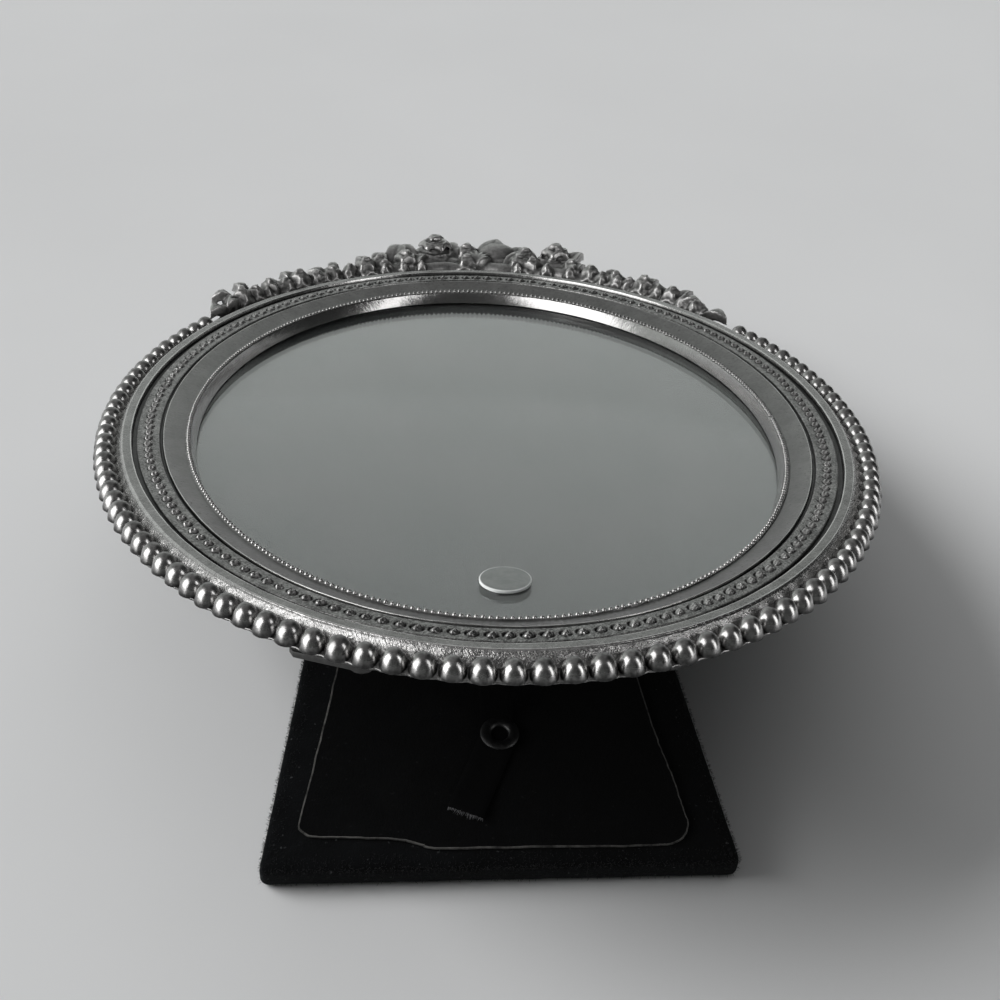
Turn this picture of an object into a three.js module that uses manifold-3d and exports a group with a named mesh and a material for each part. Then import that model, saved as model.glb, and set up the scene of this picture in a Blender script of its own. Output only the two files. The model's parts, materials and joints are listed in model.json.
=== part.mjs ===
// Oval beaded metal picture frame with a flower crest, a glass, a velvet covered back and an easel leg.
// Millimetres, +Z up. The frame lies face up on the end of its open leg and on the back of its crest.
// Inside the tilted assembly, x runs across the oval, y runs up it to the crest, and z comes out of its
// face. Heights are measured from a plane through the moulding, and insets run inward from an oval just
// outside the line of the bead centres.

import * as THREE from 'three';
import { mergeVertices } from 'three/addons/utils/BufferGeometryUtils.js';
import Module from 'manifold-3d';

const wasm = await Module();
wasm.setup();

// Oval that insets are measured from
const OVAL_HALF_WIDTH = 76.5;
const OVAL_HALF_HEIGHT = 101.5;
const OVAL_STEPS = 60;

// Bead border and the thin ledge under it
const BEAD_COUNT = 122;
const BEAD_DIAMETER = 4.0;
const BEAD_INSET = 0.4;
const BEAD_LEVEL = 0.5;
const BEAD_LINE_STEPS = 976;
// Part of the border where the crest stands in place of the beads, in degrees round from the right side
const BEADLESS_DEG = [34.5, 143.5];
const LEDGE_OVERHANG = 1.7;
const LEDGE_TOP = -0.8;
const LEDGE_THICKNESS = 0.9;

// Moulding, from the beads inward
const COVE_INSET = 2.3;
const COVE_WIDTH = 1.3;
const COVE_BEND = { width: 0.65, rise: 0.35 };
const RIM_WIDTH = 1.9;
const RIM_HEIGHT = 2.1;
const RIM_EDGE = 0.35;
const GROOVE_WIDTH = 1.0;
const GROOVE_WALL = 0.25;
const GROOVE_HEIGHT = 0.75;
const PEARL_BAND_WIDTH = 4.4;
const PEARL_BAND_HEIGHT = 1.0;
const LINE_WIDTH = 0.6;
const LINE_HEIGHT = 0.45;
const PLAIN_BAND_WIDTH = 4.2;
const PLAIN_BAND_HEIGHT = 1.05;
const PLAIN_BAND_DROP = 1.15;
const LIP_WIDTH = 1.2;
const LIP_RISE_WIDTH = 0.36;
const LIP_HEIGHT = 0.4;
const SIGHT_WALL_WIDTH = 0.8;
const CASTING_WALL = 1.7;

// Rebate for the glass and the back, and the skirt round it
const SEAT_DEPTH = 2.4;
const REBATE_INSET = 13.0;
const SKIRT_WIDTH = 4.2;

// Sheets in the rebate
const SEAT_GAP = 0.2;
const SHEET_CLEARANCE = 0.4;
const GLASS_THICKNESS = 1.8;
const INSERT_THICKNESS = 0.4;
const BACK_BOARD_THICKNESS = 1.5;
const VELVET_THICKNESS = 0.45;

// Bumper dot stuck on the glass
const DOT_DIAMETER = 9.0;
const DOT_THICKNESS = 0.7;
const DOT_BEVEL = 0.25;
const DOT_OFFSET = -0.9;
const DOT_INSET = 34.3;

// Crest: a plate lapped under the ledge, with flowers and leaves cast on it that lean in over the ledge
const CREST_PLATE_THICKNESS = 1.6;
const CREST_LAP = 1.6;
const CREST_START_DEG = 36;
const CREST_END_DEG = 142;
const CREST_STEPS = 44;
const CREST_LEDGE_CLEARANCE = 0.35;
const CREST_FACE_INSET = 1.4;
// Reach of the plate outward from the bead centres, at angles round the oval from its right side
const CREST_PLACES_DEG = [36, 42, 54, 65, 70, 75, 79.5, 84, 89, 93.5, 98.5, 103, 122, 136, 142];
const CREST_REACHES = [
  3.2, 4.6, 5.4, 6.5, 12.0, 16.5, 14.5, 17.0, 15.0, 17.5, 12.0, 6.5, 5.6, 4.6, 3.2,
];
const ROSE_LEFT_DEG = 93.5;
const ROSE_LEFT_REACH = 12.6;
const ROSE_LEFT_RADIUS = 6.0;
const ROSE_RIGHT_DEG = 75.0;
const ROSE_RIGHT_REACH = 13.0;
const ROSE_RIGHT_RADIUS = 5.4;
const ROSE_HEIGHT = 2.0;
const SHELL_DEG = 84.0;
const SHELL_REACH = 11.0;
const SHELL_HALF_WIDTH = 7.0;
const SHELL_HALF_HEIGHT = 6.6;
const SHELL_RIBS = 7;
const SHELL_HEIGHT = 1.6;
const GARLAND_FLOWERS = 6;
const GARLAND_REACH = 3.4;
const GARLAND_HEIGHT = 1.0;
const GARLAND_RIGHT_DEG = [68, 40];
const GARLAND_LEFT_DEG = [104, 138];
const GARLAND_FLOWER_RADIUS = 3.3;
const GARLAND_TAIL_RADIUS = 1.9;
const GARLAND_LEAN_DEG = 60;
const GARLAND_LEAF_REACH = 0.8;
const LEAF_LENGTH = 8.0;
const LEAF_WIDTH = 3.2;
const LEAF_HEIGHT = 3.6;
const FLOWER_SINK = 0.8;

// Turn buttons that hold the back in, each on a slotted screw
const BUTTON_LENGTH = 15.0;
const BUTTON_WIDTH = 5.6;
const BUTTON_THICKNESS = 1.2;
const BUTTON_END_CHAMFER = 1.2;
const BUTTON_OVAL_DEG = 66.4;
const BUTTON_INSET = 11.1;
const BUTTON_SWUNG_DEG = 96;
const SCREW_DIAMETER = 1.8;
const SCREW_GRIP = 4.0;
const SCREW_HEAD_DIAMETER = 4.2;
const SCREW_HEAD_HEIGHT = 1.0;
const SCREW_HEAD_FLAT = 2.94;
const SCREW_SLOT_WIDTH = 0.6;
const SCREW_SLOT_DEPTH = 0.5;
const HOLE_CLEARANCE = 0.2;

// Hinge between the back and the leg
const HINGE_Y = 34.0;
const HINGE_LENGTH = 40.0;
const HINGE_LEAF_REACH = 12.0;
const HINGE_LEAF_THICKNESS = 0.7;
const HINGE_PIN_DIAMETER = 1.6;
const HINGE_KNUCKLE_DIAMETER = 3.0;
const HINGE_CENTRE_KNUCKLE = 23.0;
const HINGE_RUNNING_GAP = 0.3;
const HINGE_PIN_CLEARANCE = 0.08;
const HINGE_PIN_HEAD_DIAMETER = 2.6;
const HINGE_PIN_HEAD_LENGTH = 0.6;
const RIVET_DIAMETER = 2.0;
const RIVET_HEAD_DIAMETER = 4.0;
const RIVET_HEAD_HEIGHT = 0.5;
const RIVET_HEAD_FLAT = 2.4;
const RIVET_SPACING = 26.0;
const RIVET_REACH = 7.5;

// Easel leg: a board wrapped in velvet, with a lining glued over the turned edges
const LEG_OPEN_DEG = 22;
const LEG_START = 4.0;
const LEG_LENGTH = 119.7;
const LEG_HINGE_WIDTH = 51.0;
const LEG_END_WIDTH = 85.5;
const LEG_BOARD_THICKNESS = 4.0;
const LEG_TURNED_EDGE = 10.0;
const LINING_THICKNESS = 0.5;
const LINING_SIDE_INSET = 6.6;
const LINING_SHIFT = -1.3;
const LINING_START_INSET = 2.0;
const LINING_END_INSET = 4.4;
const LINING_CORNER = 4.0;

// Stay strap: a ribbon held by an eyelet at each end
const STRAP_WIDTH = 6.35;
const STRAP_THICKNESS = 0.4;
const STRAP_BACK_Y = -30.0;
const STRAP_BACK_END = 6.0;
const STRAP_BEND = 5.0;
const STRAP_LEG_REACH = 92.6;
const STRAP_TAIL_LENGTH = 19.0;
const STRAP_TAIL_DEG = 23;
const EYELET_DIAMETER = 7.4;
const EYELET_BARREL_DIAMETER = 4.4;
const EYELET_BORE = 3.2;
const EYELET_FLANGE = 0.5;

// Facets of small round pieces
const ROUND_SIDES = 12;
const BEAD_SIDES = 6;
const FLOWER_SIDES = 8;
const FLOWER_RINGS = 5;
const LEAF_SIDES = 6;
const LEAF_RINGS = 4;

// Levels that follow from the sizes above, going back from the seat for the glass
const ledgeBottom = LEDGE_TOP - LEDGE_THICKNESS;
const glassFront = -SEAT_DEPTH - SEAT_GAP;
const glassRear = glassFront - GLASS_THICKNESS;
const insertRear = glassRear - SEAT_GAP - INSERT_THICKNESS;
const boardRear = insertRear - SEAT_GAP - BACK_BOARD_THICKNESS;
const backRear = boardRear - SEAT_GAP - VELVET_THICKNESS;
const skirtRear = backRear;
const sheetInset = REBATE_INSET + SHEET_CLEARANCE;

const coveEnd = COVE_INSET + COVE_WIDTH;
const rimEnd = coveEnd + RIM_WIDTH;
const grooveEnd = rimEnd + GROOVE_WIDTH;
const pearlEnd = grooveEnd + PEARL_BAND_WIDTH;
const lineEnd = pearlEnd + LINE_WIDTH;
const plainEnd = lineEnd + PLAIN_BAND_WIDTH;
const lipEnd = plainEnd + LIP_WIDTH;
const sightInset = lipEnd + SIGHT_WALL_WIDTH;

const hingeRadius = HINGE_KNUCKLE_DIAMETER / 2;
const hingeZ = backRear - SEAT_GAP - hingeRadius;
const legAngle = THREE.MathUtils.degToRad(LEG_OPEN_DEG);

const liningTop = -SEAT_GAP;
const liningRear = liningTop - LINING_THICKNESS;
const foldTop = liningRear - SEAT_GAP;
const legBoardTop = foldTop - VELVET_THICKNESS - SEAT_GAP;
const legBoardRear = legBoardTop - LEG_BOARD_THICKNESS;
const legOuter = legBoardRear - SEAT_GAP - VELVET_THICKNESS;

const material = (color, roughness, metalness) =>
  new THREE.MeshStandardMaterial({ color, roughness, metalness });

// Geometry helpers

function closed(geometry) {
  const bare = new THREE.BufferGeometry();
  bare.setAttribute('position', geometry.attributes.position.clone());
  if (geometry.index) bare.setIndex(geometry.index.clone());
  const merged = mergeVertices(bare);
  const corners = [];
  for (let i = 0; i < merged.index.count; i += 3) {
    const [a, b, c] = [0, 1, 2].map((k) => merged.index.getX(i + k));
    if (a !== b && b !== c && c !== a) corners.push(a, b, c);
  }
  merged.setIndex(corners);
  return merged;
}

function solid(geometry) {
  const shell = closed(geometry);
  return new wasm.Manifold(new wasm.Mesh({
    numProp: 3,
    vertProperties: new Float32Array(shell.attributes.position.array),
    triVerts: Uint32Array.from(shell.index.array),
  }));
}

function skin(manifold) {
  const found = manifold.getMesh();
  const geometry = new THREE.BufferGeometry();
  geometry.setAttribute('position', new THREE.BufferAttribute(found.vertProperties, found.numProp));
  geometry.setIndex(new THREE.BufferAttribute(found.triVerts, 1));
  return geometry;
}

function joined(geometries) {
  return geometries.map(solid).reduce((whole, next) => whole.add(next));
}

function cutFrom(base, cutters) {
  return cutters.reduce((whole, cutter) => whole.subtract(solid(cutter)), base);
}

function ovalPoint(angle, inset, height) {
  const across = Math.cos(angle);
  const along = Math.sin(angle);
  const normal = new THREE.Vector2(across / OVAL_HALF_WIDTH, along / OVAL_HALF_HEIGHT).normalize();
  return new THREE.Vector3(
    OVAL_HALF_WIDTH * across - inset * normal.x,
    OVAL_HALF_HEIGHT * along - inset * normal.y,
    height,
  );
}

function ovalNormalAngle(angle) {
  return Math.atan2(Math.sin(angle) / OVAL_HALF_HEIGHT, Math.cos(angle) / OVAL_HALF_WIDTH);
}

function ovalShape(inset) {
  const points = [];
  for (let i = 0; i < OVAL_STEPS; i += 1) {
    const place = ovalPoint((i / OVAL_STEPS) * 2 * Math.PI, inset, 0);
    points.push(new THREE.Vector2(place.x, place.y));
  }
  return new THREE.Shape(points);
}

// A closed section, given as [inset, height], swept round the oval square to its edge
function ovalRing(section) {
  const reach = OVAL_HALF_HEIGHT;
  const profile = section.map(([inset, height]) => new THREE.Vector2(reach - inset, height));
  profile.push(profile[0].clone());
  const ring = new THREE.LatheGeometry(profile, OVAL_STEPS);
  const places = ring.attributes.position;
  for (let i = 0; i < places.count; i += 1) {
    const around = Math.atan2(places.getX(i), places.getZ(i));
    const inset = reach - Math.hypot(places.getX(i), places.getZ(i));
    const place = ovalPoint(around, inset, places.getY(i));
    places.setXYZ(i, place.x, place.y, place.z);
  }
  return ring;
}

function plate(shape, rear, front) {
  const geometry = new THREE.ExtrudeGeometry(shape, {
    depth: front - rear,
    bevelEnabled: false,
    curveSegments: ROUND_SIDES / 2,
  });
  return geometry.translate(0, 0, rear);
}

// A section of [radius, height] turned round the z axis
function turned(section, sides = ROUND_SIDES) {
  const profile = section.map(([radius, height]) => new THREE.Vector2(radius, height));
  return new THREE.LatheGeometry(profile, sides).rotateX(Math.PI / 2);
}

function rod(diameter, rear, front) {
  const radius = diameter / 2;
  return turned([[0, rear], [radius, rear], [radius, front], [0, front]]);
}

function rodAcross(diameter, left, right) {
  return rod(diameter, left, right).rotateY(Math.PI / 2);
}

function block(left, right, low, high, rear, front) {
  return new THREE.BoxGeometry(right - left, high - low, front - rear).translate(
    (left + right) / 2,
    (low + high) / 2,
    (rear + front) / 2,
  );
}

function roundHole(shape, x, y, diameter) {
  const hole = new THREE.Path();
  hole.absarc(x, y, diameter / 2, 0, 2 * Math.PI, true);
  shape.holes.push(hole);
}

function blob(radii, sides, rings) {
  return new THREE.SphereGeometry(1, sides, rings).rotateX(Math.PI / 2).scale(radii.x, radii.y, radii.z);
}

// Tree of the assembly: everything but the leg, and the leg on its hinge

const assembly = new THREE.Group();
const leg = new THREE.Group();
leg.position.set(0, HINGE_Y, hingeZ);
leg.rotation.x = legAngle;
assembly.add(leg);

function add(parent, name, geometry, look) {
  const mesh = new THREE.Mesh(closed(geometry), look);
  mesh.name = name;
  parent.add(mesh);
  return mesh;
}

// Frame casting: the moulding, its skirt and the bead border in one metal casting

function mouldingSection() {
  const coveFoot = LEDGE_TOP + RIM_EDGE;
  const coveMiddle = coveFoot + (RIM_HEIGHT - coveFoot) * COVE_BEND.rise;
  return [
    [-LEDGE_OVERHANG, ledgeBottom],
    [-LEDGE_OVERHANG, LEDGE_TOP],
    [COVE_INSET, coveFoot],
    [COVE_INSET + COVE_WIDTH * COVE_BEND.width, coveMiddle],
    [coveEnd, RIM_HEIGHT - RIM_EDGE],
    [coveEnd + RIM_EDGE, RIM_HEIGHT],
    [rimEnd - RIM_EDGE, RIM_HEIGHT],
    [rimEnd, RIM_HEIGHT - RIM_EDGE],
    [rimEnd + GROOVE_WALL, GROOVE_HEIGHT],
    [grooveEnd - GROOVE_WALL, GROOVE_HEIGHT],
    [grooveEnd, PEARL_BAND_HEIGHT],
    [pearlEnd, PEARL_BAND_HEIGHT],
    [pearlEnd, LINE_HEIGHT],
    [lineEnd, LINE_HEIGHT],
    [lineEnd, PLAIN_BAND_HEIGHT],
    [plainEnd, PLAIN_BAND_HEIGHT - PLAIN_BAND_DROP],
    [plainEnd + LIP_RISE_WIDTH, LIP_HEIGHT],
    [lipEnd, LIP_HEIGHT - RIM_EDGE],
    [sightInset, -SEAT_DEPTH],
    [REBATE_INSET, -SEAT_DEPTH],
    [REBATE_INSET, skirtRear],
    [REBATE_INSET - SKIRT_WIDTH, skirtRear],
    [REBATE_INSET - SKIRT_WIDTH, GROOVE_HEIGHT - CASTING_WALL],
    [rimEnd - RIM_WIDTH / 2, GROOVE_HEIGHT - CASTING_WALL],
    [coveEnd - RIM_EDGE, ledgeBottom],
  ];
}

const buttonPlaces = [
  { name: 'lower_left', deg: 180 + BUTTON_OVAL_DEG, turn: BUTTON_SWUNG_DEG },
  { name: 'lower_right', deg: 360 - BUTTON_OVAL_DEG, turn: 0 },
  { name: 'upper_left', deg: 180 - BUTTON_OVAL_DEG, turn: 0 },
  { name: 'upper_right', deg: BUTTON_OVAL_DEG, turn: 0 },
].map((place) => {
  const angle = THREE.MathUtils.degToRad(place.deg);
  return { ...place, angle, pivot: ovalPoint(angle, BUTTON_INSET, 0) };
});

function frameCasting() {
  const beadRadius = BEAD_DIAMETER / 2;
  const beadLine = new THREE.EllipseCurve(
    0, 0, OVAL_HALF_WIDTH - BEAD_INSET, OVAL_HALF_HEIGHT - BEAD_INSET,
  );
  beadLine.arcLengthDivisions = BEAD_LINE_STEPS;
  const beadSection = [
    [0, -beadRadius],
    [beadRadius, -beadRadius / 2],
    [beadRadius, beadRadius / 2],
    [0, beadRadius],
  ];
  const [beadless, beadsAgain] = BEADLESS_DEG.map(THREE.MathUtils.degToRad);
  const centres = beadLine.getSpacedPoints(BEAD_COUNT).slice(1).filter((centre) => {
    const around = Math.atan2(centre.y / OVAL_HALF_HEIGHT, centre.x / OVAL_HALF_WIDTH);
    return around < beadless || around > beadsAgain;
  });
  const beads = centres.map((centre) =>
    turned(beadSection, BEAD_SIDES)
      .rotateZ(centre.angle())
      .translate(centre.x, centre.y, BEAD_LEVEL));
  const screwHoles = buttonPlaces.map(({ pivot }) =>
    rod(SCREW_DIAMETER + HOLE_CLEARANCE, skirtRear - SEAT_GAP, skirtRear + SCREW_GRIP + HOLE_CLEARANCE)
      .translate(pivot.x, pivot.y, 0));
  return skin(cutFrom(joined([ovalRing(mouldingSection()), ...beads]), screwHoles));
}

// Crest casting

function crestReach(deg) {
  const next = Math.max(1, CREST_PLACES_DEG.findIndex((at) => at >= deg));
  return THREE.MathUtils.mapLinear(
    deg, CREST_PLACES_DEG[next - 1], CREST_PLACES_DEG[next], CREST_REACHES[next - 1], CREST_REACHES[next],
  );
}

const crestPlateTop = ledgeBottom - SEAT_GAP;
const crestPlateRear = crestPlateTop - CREST_PLATE_THICKNESS;

// Half height of a flower centred at the height given, so that it sinks into the plate
function flowerRise(height) {
  return height - crestPlateTop + FLOWER_SINK;
}

function crestPlace(deg, reach) {
  const angle = THREE.MathUtils.degToRad(deg);
  return { at: ovalPoint(angle, -reach, 0), facing: ovalNormalAngle(angle) };
}

function crestFlower(deg, reach, radius, height) {
  const { at, facing } = crestPlace(deg, reach);
  return blob({ x: radius, y: radius, z: flowerRise(height) }, FLOWER_SIDES, FLOWER_RINGS)
    .rotateZ(facing)
    .translate(at.x, at.y, height);
}

function crestLeaf(deg, reach, lean) {
  const { at, facing } = crestPlace(deg, reach);
  return blob({ x: LEAF_LENGTH / 2, y: LEAF_WIDTH / 2, z: LEAF_HEIGHT / 2 }, LEAF_SIDES, LEAF_RINGS)
    .rotateZ(facing + lean)
    .translate(at.x, at.y, crestPlateTop + LEAF_HEIGHT / 4);
}

function garland([fromDeg, toDeg]) {
  const pieces = [];
  const lean = Math.sign(toDeg - fromDeg) * THREE.MathUtils.degToRad(GARLAND_LEAN_DEG);
  const step = (toDeg - fromDeg) / (GARLAND_FLOWERS - 1);
  for (let i = 0; i < GARLAND_FLOWERS; i += 1) {
    const deg = fromDeg + step * i;
    const share = i / (GARLAND_FLOWERS - 1);
    const radius = THREE.MathUtils.lerp(GARLAND_FLOWER_RADIUS, GARLAND_TAIL_RADIUS, share);
    const leafReach = GARLAND_REACH + radius * GARLAND_LEAF_REACH;
    pieces.push(crestFlower(deg, GARLAND_REACH, radius, GARLAND_HEIGHT));
    if (i > 0) pieces.push(crestLeaf(deg - step / 2, leafReach, lean));
  }
  return pieces;
}

function crestShell() {
  const { at, facing } = crestPlace(SHELL_DEG, SHELL_REACH);
  const rise = flowerRise(SHELL_HEIGHT);
  const radii = { x: SHELL_HALF_HEIGHT, y: SHELL_HALF_WIDTH, z: rise };
  const dome = blob(radii, FLOWER_SIDES, FLOWER_RINGS);
  const ribs = [];
  for (let i = 0; i < SHELL_RIBS; i += 1) {
    const spread = ((i + 0.5) / SHELL_RIBS - 0.5) * Math.PI;
    ribs.push(blob({ x: LEAF_WIDTH, y: LEAF_WIDTH / 2, z: rise }, LEAF_SIDES, LEAF_RINGS)
      .translate(SHELL_HALF_HEIGHT, 0, 0)
      .rotateZ(spread));
  }
  return [dome, ...ribs].map((geometry) => geometry.rotateZ(facing).translate(at.x, at.y, SHELL_HEIGHT));
}

function crestCasting() {
  const outer = [];
  const inner = [];
  for (let i = 0; i <= CREST_STEPS; i += 1) {
    const deg = THREE.MathUtils.lerp(CREST_START_DEG, CREST_END_DEG, i / CREST_STEPS);
    const angle = THREE.MathUtils.degToRad(deg);
    outer.push(ovalPoint(angle, -crestReach(deg), 0));
    inner.push(ovalPoint(angle, CREST_LAP, 0));
  }
  const outline = [...outer, ...inner.reverse()].map((place) => new THREE.Vector2(place.x, place.y));
  const ornament = [
    crestFlower(ROSE_LEFT_DEG, ROSE_LEFT_REACH, ROSE_LEFT_RADIUS, ROSE_HEIGHT),
    crestFlower(ROSE_RIGHT_DEG, ROSE_RIGHT_REACH, ROSE_RIGHT_RADIUS, ROSE_HEIGHT),
    ...crestShell(),
    ...garland(GARLAND_RIGHT_DEG),
    ...garland(GARLAND_LEFT_DEG),
  ];
  const base = plate(new THREE.Shape(outline), crestPlateRear, crestPlateTop);
  const ledgeEdge = -LEDGE_OVERHANG - CREST_LEDGE_CLEARANCE;
  const ledgeSpace = plate(ovalShape(ledgeEdge), crestPlateTop, LEDGE_TOP + SEAT_GAP);
  const crestTop = ROSE_HEIGHT + flowerRise(ROSE_HEIGHT);
  const faceSpace = plate(ovalShape(CREST_FACE_INSET), LEDGE_TOP, crestTop);
  const below = plate(ovalShape(-OVAL_HALF_HEIGHT), crestPlateRear - OVAL_HALF_WIDTH, crestPlateRear);
  return skin(cutFrom(joined([base, ...ornament]), [ledgeSpace, faceSpace, below]));
}

// Glass, insert and back

function backShape() {
  const shape = ovalShape(sheetInset);
  for (const side of [-1, 1]) {
    roundHole(shape, (side * RIVET_SPACING) / 2, HINGE_Y + RIVET_REACH, RIVET_DIAMETER + HOLE_CLEARANCE);
  }
  roundHole(shape, 0, STRAP_BACK_Y, EYELET_BARREL_DIAMETER + HOLE_CLEARANCE);
  return shape;
}

function glassDot() {
  const radius = DOT_DIAMETER / 2;
  const rear = glassFront + SEAT_GAP;
  const front = rear + DOT_THICKNESS;
  return turned([
    [0, rear],
    [radius, rear],
    [radius, front - DOT_BEVEL],
    [radius - DOT_BEVEL, front],
    [0, front],
  ]).translate(DOT_OFFSET, DOT_INSET - OVAL_HALF_HEIGHT, 0);
}

// Turn buttons and their screws

const buttonFront = skirtRear - SEAT_GAP;
const buttonRear = buttonFront - BUTTON_THICKNESS;

function turnButton() {
  const half = BUTTON_WIDTH / 2;
  const tip = BUTTON_LENGTH - half;
  const shape = new THREE.Shape();
  shape.absarc(0, 0, half, Math.PI / 2, (3 * Math.PI) / 2);
  shape.lineTo(tip - BUTTON_END_CHAMFER, -half);
  shape.lineTo(tip, -half + BUTTON_END_CHAMFER);
  shape.lineTo(tip, half - BUTTON_END_CHAMFER);
  shape.lineTo(tip - BUTTON_END_CHAMFER, half);
  roundHole(shape, 0, 0, SCREW_DIAMETER + HOLE_CLEARANCE);
  return plate(shape, buttonRear, buttonFront);
}

function slottedScrew() {
  const shank = SCREW_DIAMETER / 2;
  const head = SCREW_HEAD_DIAMETER / 2;
  const under = buttonRear - SEAT_GAP;
  const top = under - SCREW_HEAD_HEIGHT;
  const body = turned([
    [0, top],
    [SCREW_HEAD_FLAT / 2, top],
    [head, under - SCREW_HEAD_HEIGHT / 2],
    [head, under],
    [shank, under],
    [shank, skirtRear + SCREW_GRIP],
    [0, skirtRear + SCREW_GRIP],
  ]);
  const slot = block(-head * 2, head * 2, -SCREW_SLOT_WIDTH / 2, SCREW_SLOT_WIDTH / 2,
    top - SCREW_SLOT_DEPTH, top + SCREW_SLOT_DEPTH);
  return skin(cutFrom(solid(body), [slot]));
}

// Hinge: two leaves with knuckles round one pin, and the rivets through the leaves

const centreKnuckle = HINGE_CENTRE_KNUCKLE / 2;
const hingeHalf = HINGE_LENGTH / 2;
const hingeClear = hingeRadius + HINGE_RUNNING_GAP;
const pinBore = rodAcross(
  HINGE_PIN_DIAMETER + HINGE_PIN_CLEARANCE * 2, -HINGE_LENGTH, HINGE_LENGTH,
);

function leafHoles(y, rear, front) {
  return [-1, 1].map((side) =>
    rod(RIVET_DIAMETER + HOLE_CLEARANCE, rear, front).translate((side * RIVET_SPACING) / 2, y, 0));
}

// Hinge pieces are drawn round the pin, the back leaf going up the back and the other down the leg
function hingeBackLeaf() {
  const front = hingeRadius;
  const rear = front - HINGE_LEAF_THICKNESS;
  const middle = centreKnuckle + HINGE_RUNNING_GAP;
  const leaf = solid(block(-hingeHalf, hingeHalf, 0, HINGE_LEAF_REACH, rear, front));
  const notched = cutFrom(leaf, [block(-middle, middle, -hingeClear, hingeClear, -hingeClear, hingeClear)]);
  const left = solid(rodAcross(HINGE_KNUCKLE_DIAMETER, -hingeHalf, -middle));
  const right = solid(rodAcross(HINGE_KNUCKLE_DIAMETER, middle, hingeHalf));
  const holes = leafHoles(RIVET_REACH, rear - SEAT_GAP, front + SEAT_GAP);
  return skin(cutFrom(notched.add(left).add(right), [pinBore, ...holes]));
}

function hingeLegLeaf() {
  const front = HINGE_LEAF_THICKNESS;
  const leaf = solid(block(-hingeHalf, hingeHalf, -HINGE_LEAF_REACH, 0, 0, front));
  const ends = [-1, 1].map((side) => {
    const from = side < 0 ? -hingeHalf - HINGE_RUNNING_GAP : centreKnuckle;
    const to = side < 0 ? -centreKnuckle : hingeHalf + HINGE_RUNNING_GAP;
    return block(from, to, -hingeClear, hingeClear, -hingeClear, hingeClear);
  });
  const knuckle = solid(rodAcross(HINGE_KNUCKLE_DIAMETER, -centreKnuckle, centreKnuckle));
  const holes = leafHoles(-RIVET_REACH, -SEAT_GAP, front + SEAT_GAP);
  return skin(cutFrom(cutFrom(leaf, ends).add(knuckle), [pinBore, ...holes]));
}

function hingePin() {
  const end = hingeHalf + SEAT_GAP;
  const head = HINGE_PIN_HEAD_DIAMETER / 2;
  const pin = HINGE_PIN_DIAMETER / 2;
  return turned([
    [0, -end - HINGE_PIN_HEAD_LENGTH],
    [head, -end - HINGE_PIN_HEAD_LENGTH],
    [head, -end],
    [pin, -end],
    [pin, end],
    [head, end],
    [head, end + HINGE_PIN_HEAD_LENGTH],
    [0, end + HINGE_PIN_HEAD_LENGTH],
  ]).rotateY(Math.PI / 2);
}

// A rivet along z with its head at the top, on a leaf whose top face is at the height given
function rivet(leafTop, shankEnd) {
  const under = leafTop + SEAT_GAP / 2;
  const head = RIVET_HEAD_DIAMETER / 2;
  return turned([
    [0, shankEnd],
    [RIVET_DIAMETER / 2, shankEnd],
    [RIVET_DIAMETER / 2, under],
    [head, under],
    [RIVET_HEAD_FLAT / 2, under + RIVET_HEAD_HEIGHT],
    [0, under + RIVET_HEAD_HEIGHT],
  ]);
}

// Easel leg, drawn from the hinge pin down the leg, with its inner face up

function legHalfWidth(reach) {
  return THREE.MathUtils.lerp(LEG_HINGE_WIDTH, LEG_END_WIDTH, reach / LEG_LENGTH) / 2;
}

function legShape(inset) {
  const top = LEG_START + inset;
  const end = LEG_LENGTH - inset;
  const topHalf = legHalfWidth(top) - inset;
  const endHalf = legHalfWidth(end) - inset;
  return new THREE.Shape([
    new THREE.Vector2(-topHalf, -top),
    new THREE.Vector2(-endHalf, -end),
    new THREE.Vector2(endHalf, -end),
    new THREE.Vector2(topHalf, -top),
  ]);
}

function strapHole(shape) {
  roundHole(shape, 0, -STRAP_LEG_REACH, EYELET_BARREL_DIAMETER + HOLE_CLEARANCE);
  return shape;
}

function legHoles(shape) {
  for (const side of [-1, 1]) {
    roundHole(shape, (side * RIVET_SPACING) / 2, -RIVET_REACH, RIVET_DIAMETER + HOLE_CLEARANCE);
  }
  return strapHole(shape);
}

function legVelvet() {
  const cover = solid(plate(strapHole(legShape(0)), legOuter, foldTop));
  const coverTop = legOuter + VELVET_THICKNESS;
  const boardSpace = plate(legShape(VELVET_THICKNESS), coverTop, foldTop - VELVET_THICKNESS);
  const opening = plate(legShape(LEG_TURNED_EDGE), coverTop, foldTop + SEAT_GAP);
  const rivetHoles = leafHoles(-RIVET_REACH, legBoardRear, foldTop + SEAT_GAP);
  return skin(cutFrom(cover, [boardSpace, opening, ...rivetHoles]));
}

function legLining() {
  const top = LEG_START + LINING_START_INSET;
  const end = LEG_LENGTH - LINING_END_INSET;
  const topHalf = legHalfWidth(top) - LINING_SIDE_INSET;
  const endHalf = legHalfWidth(end) - LINING_SIDE_INSET;
  const cornerHalf = legHalfWidth(end - LINING_CORNER) - LINING_SIDE_INSET;
  const shape = new THREE.Shape();
  shape.moveTo(LINING_SHIFT - topHalf, -top);
  shape.lineTo(LINING_SHIFT - cornerHalf, -end + LINING_CORNER);
  shape.quadraticCurveTo(LINING_SHIFT - endHalf, -end, LINING_SHIFT - endHalf + LINING_CORNER, -end);
  shape.lineTo(LINING_SHIFT + endHalf - LINING_CORNER, -end);
  shape.quadraticCurveTo(LINING_SHIFT + endHalf, -end, LINING_SHIFT + cornerHalf, -end + LINING_CORNER);
  shape.lineTo(LINING_SHIFT + topHalf, -top);
  return plate(legHoles(shape), liningRear, liningTop);
}

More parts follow.
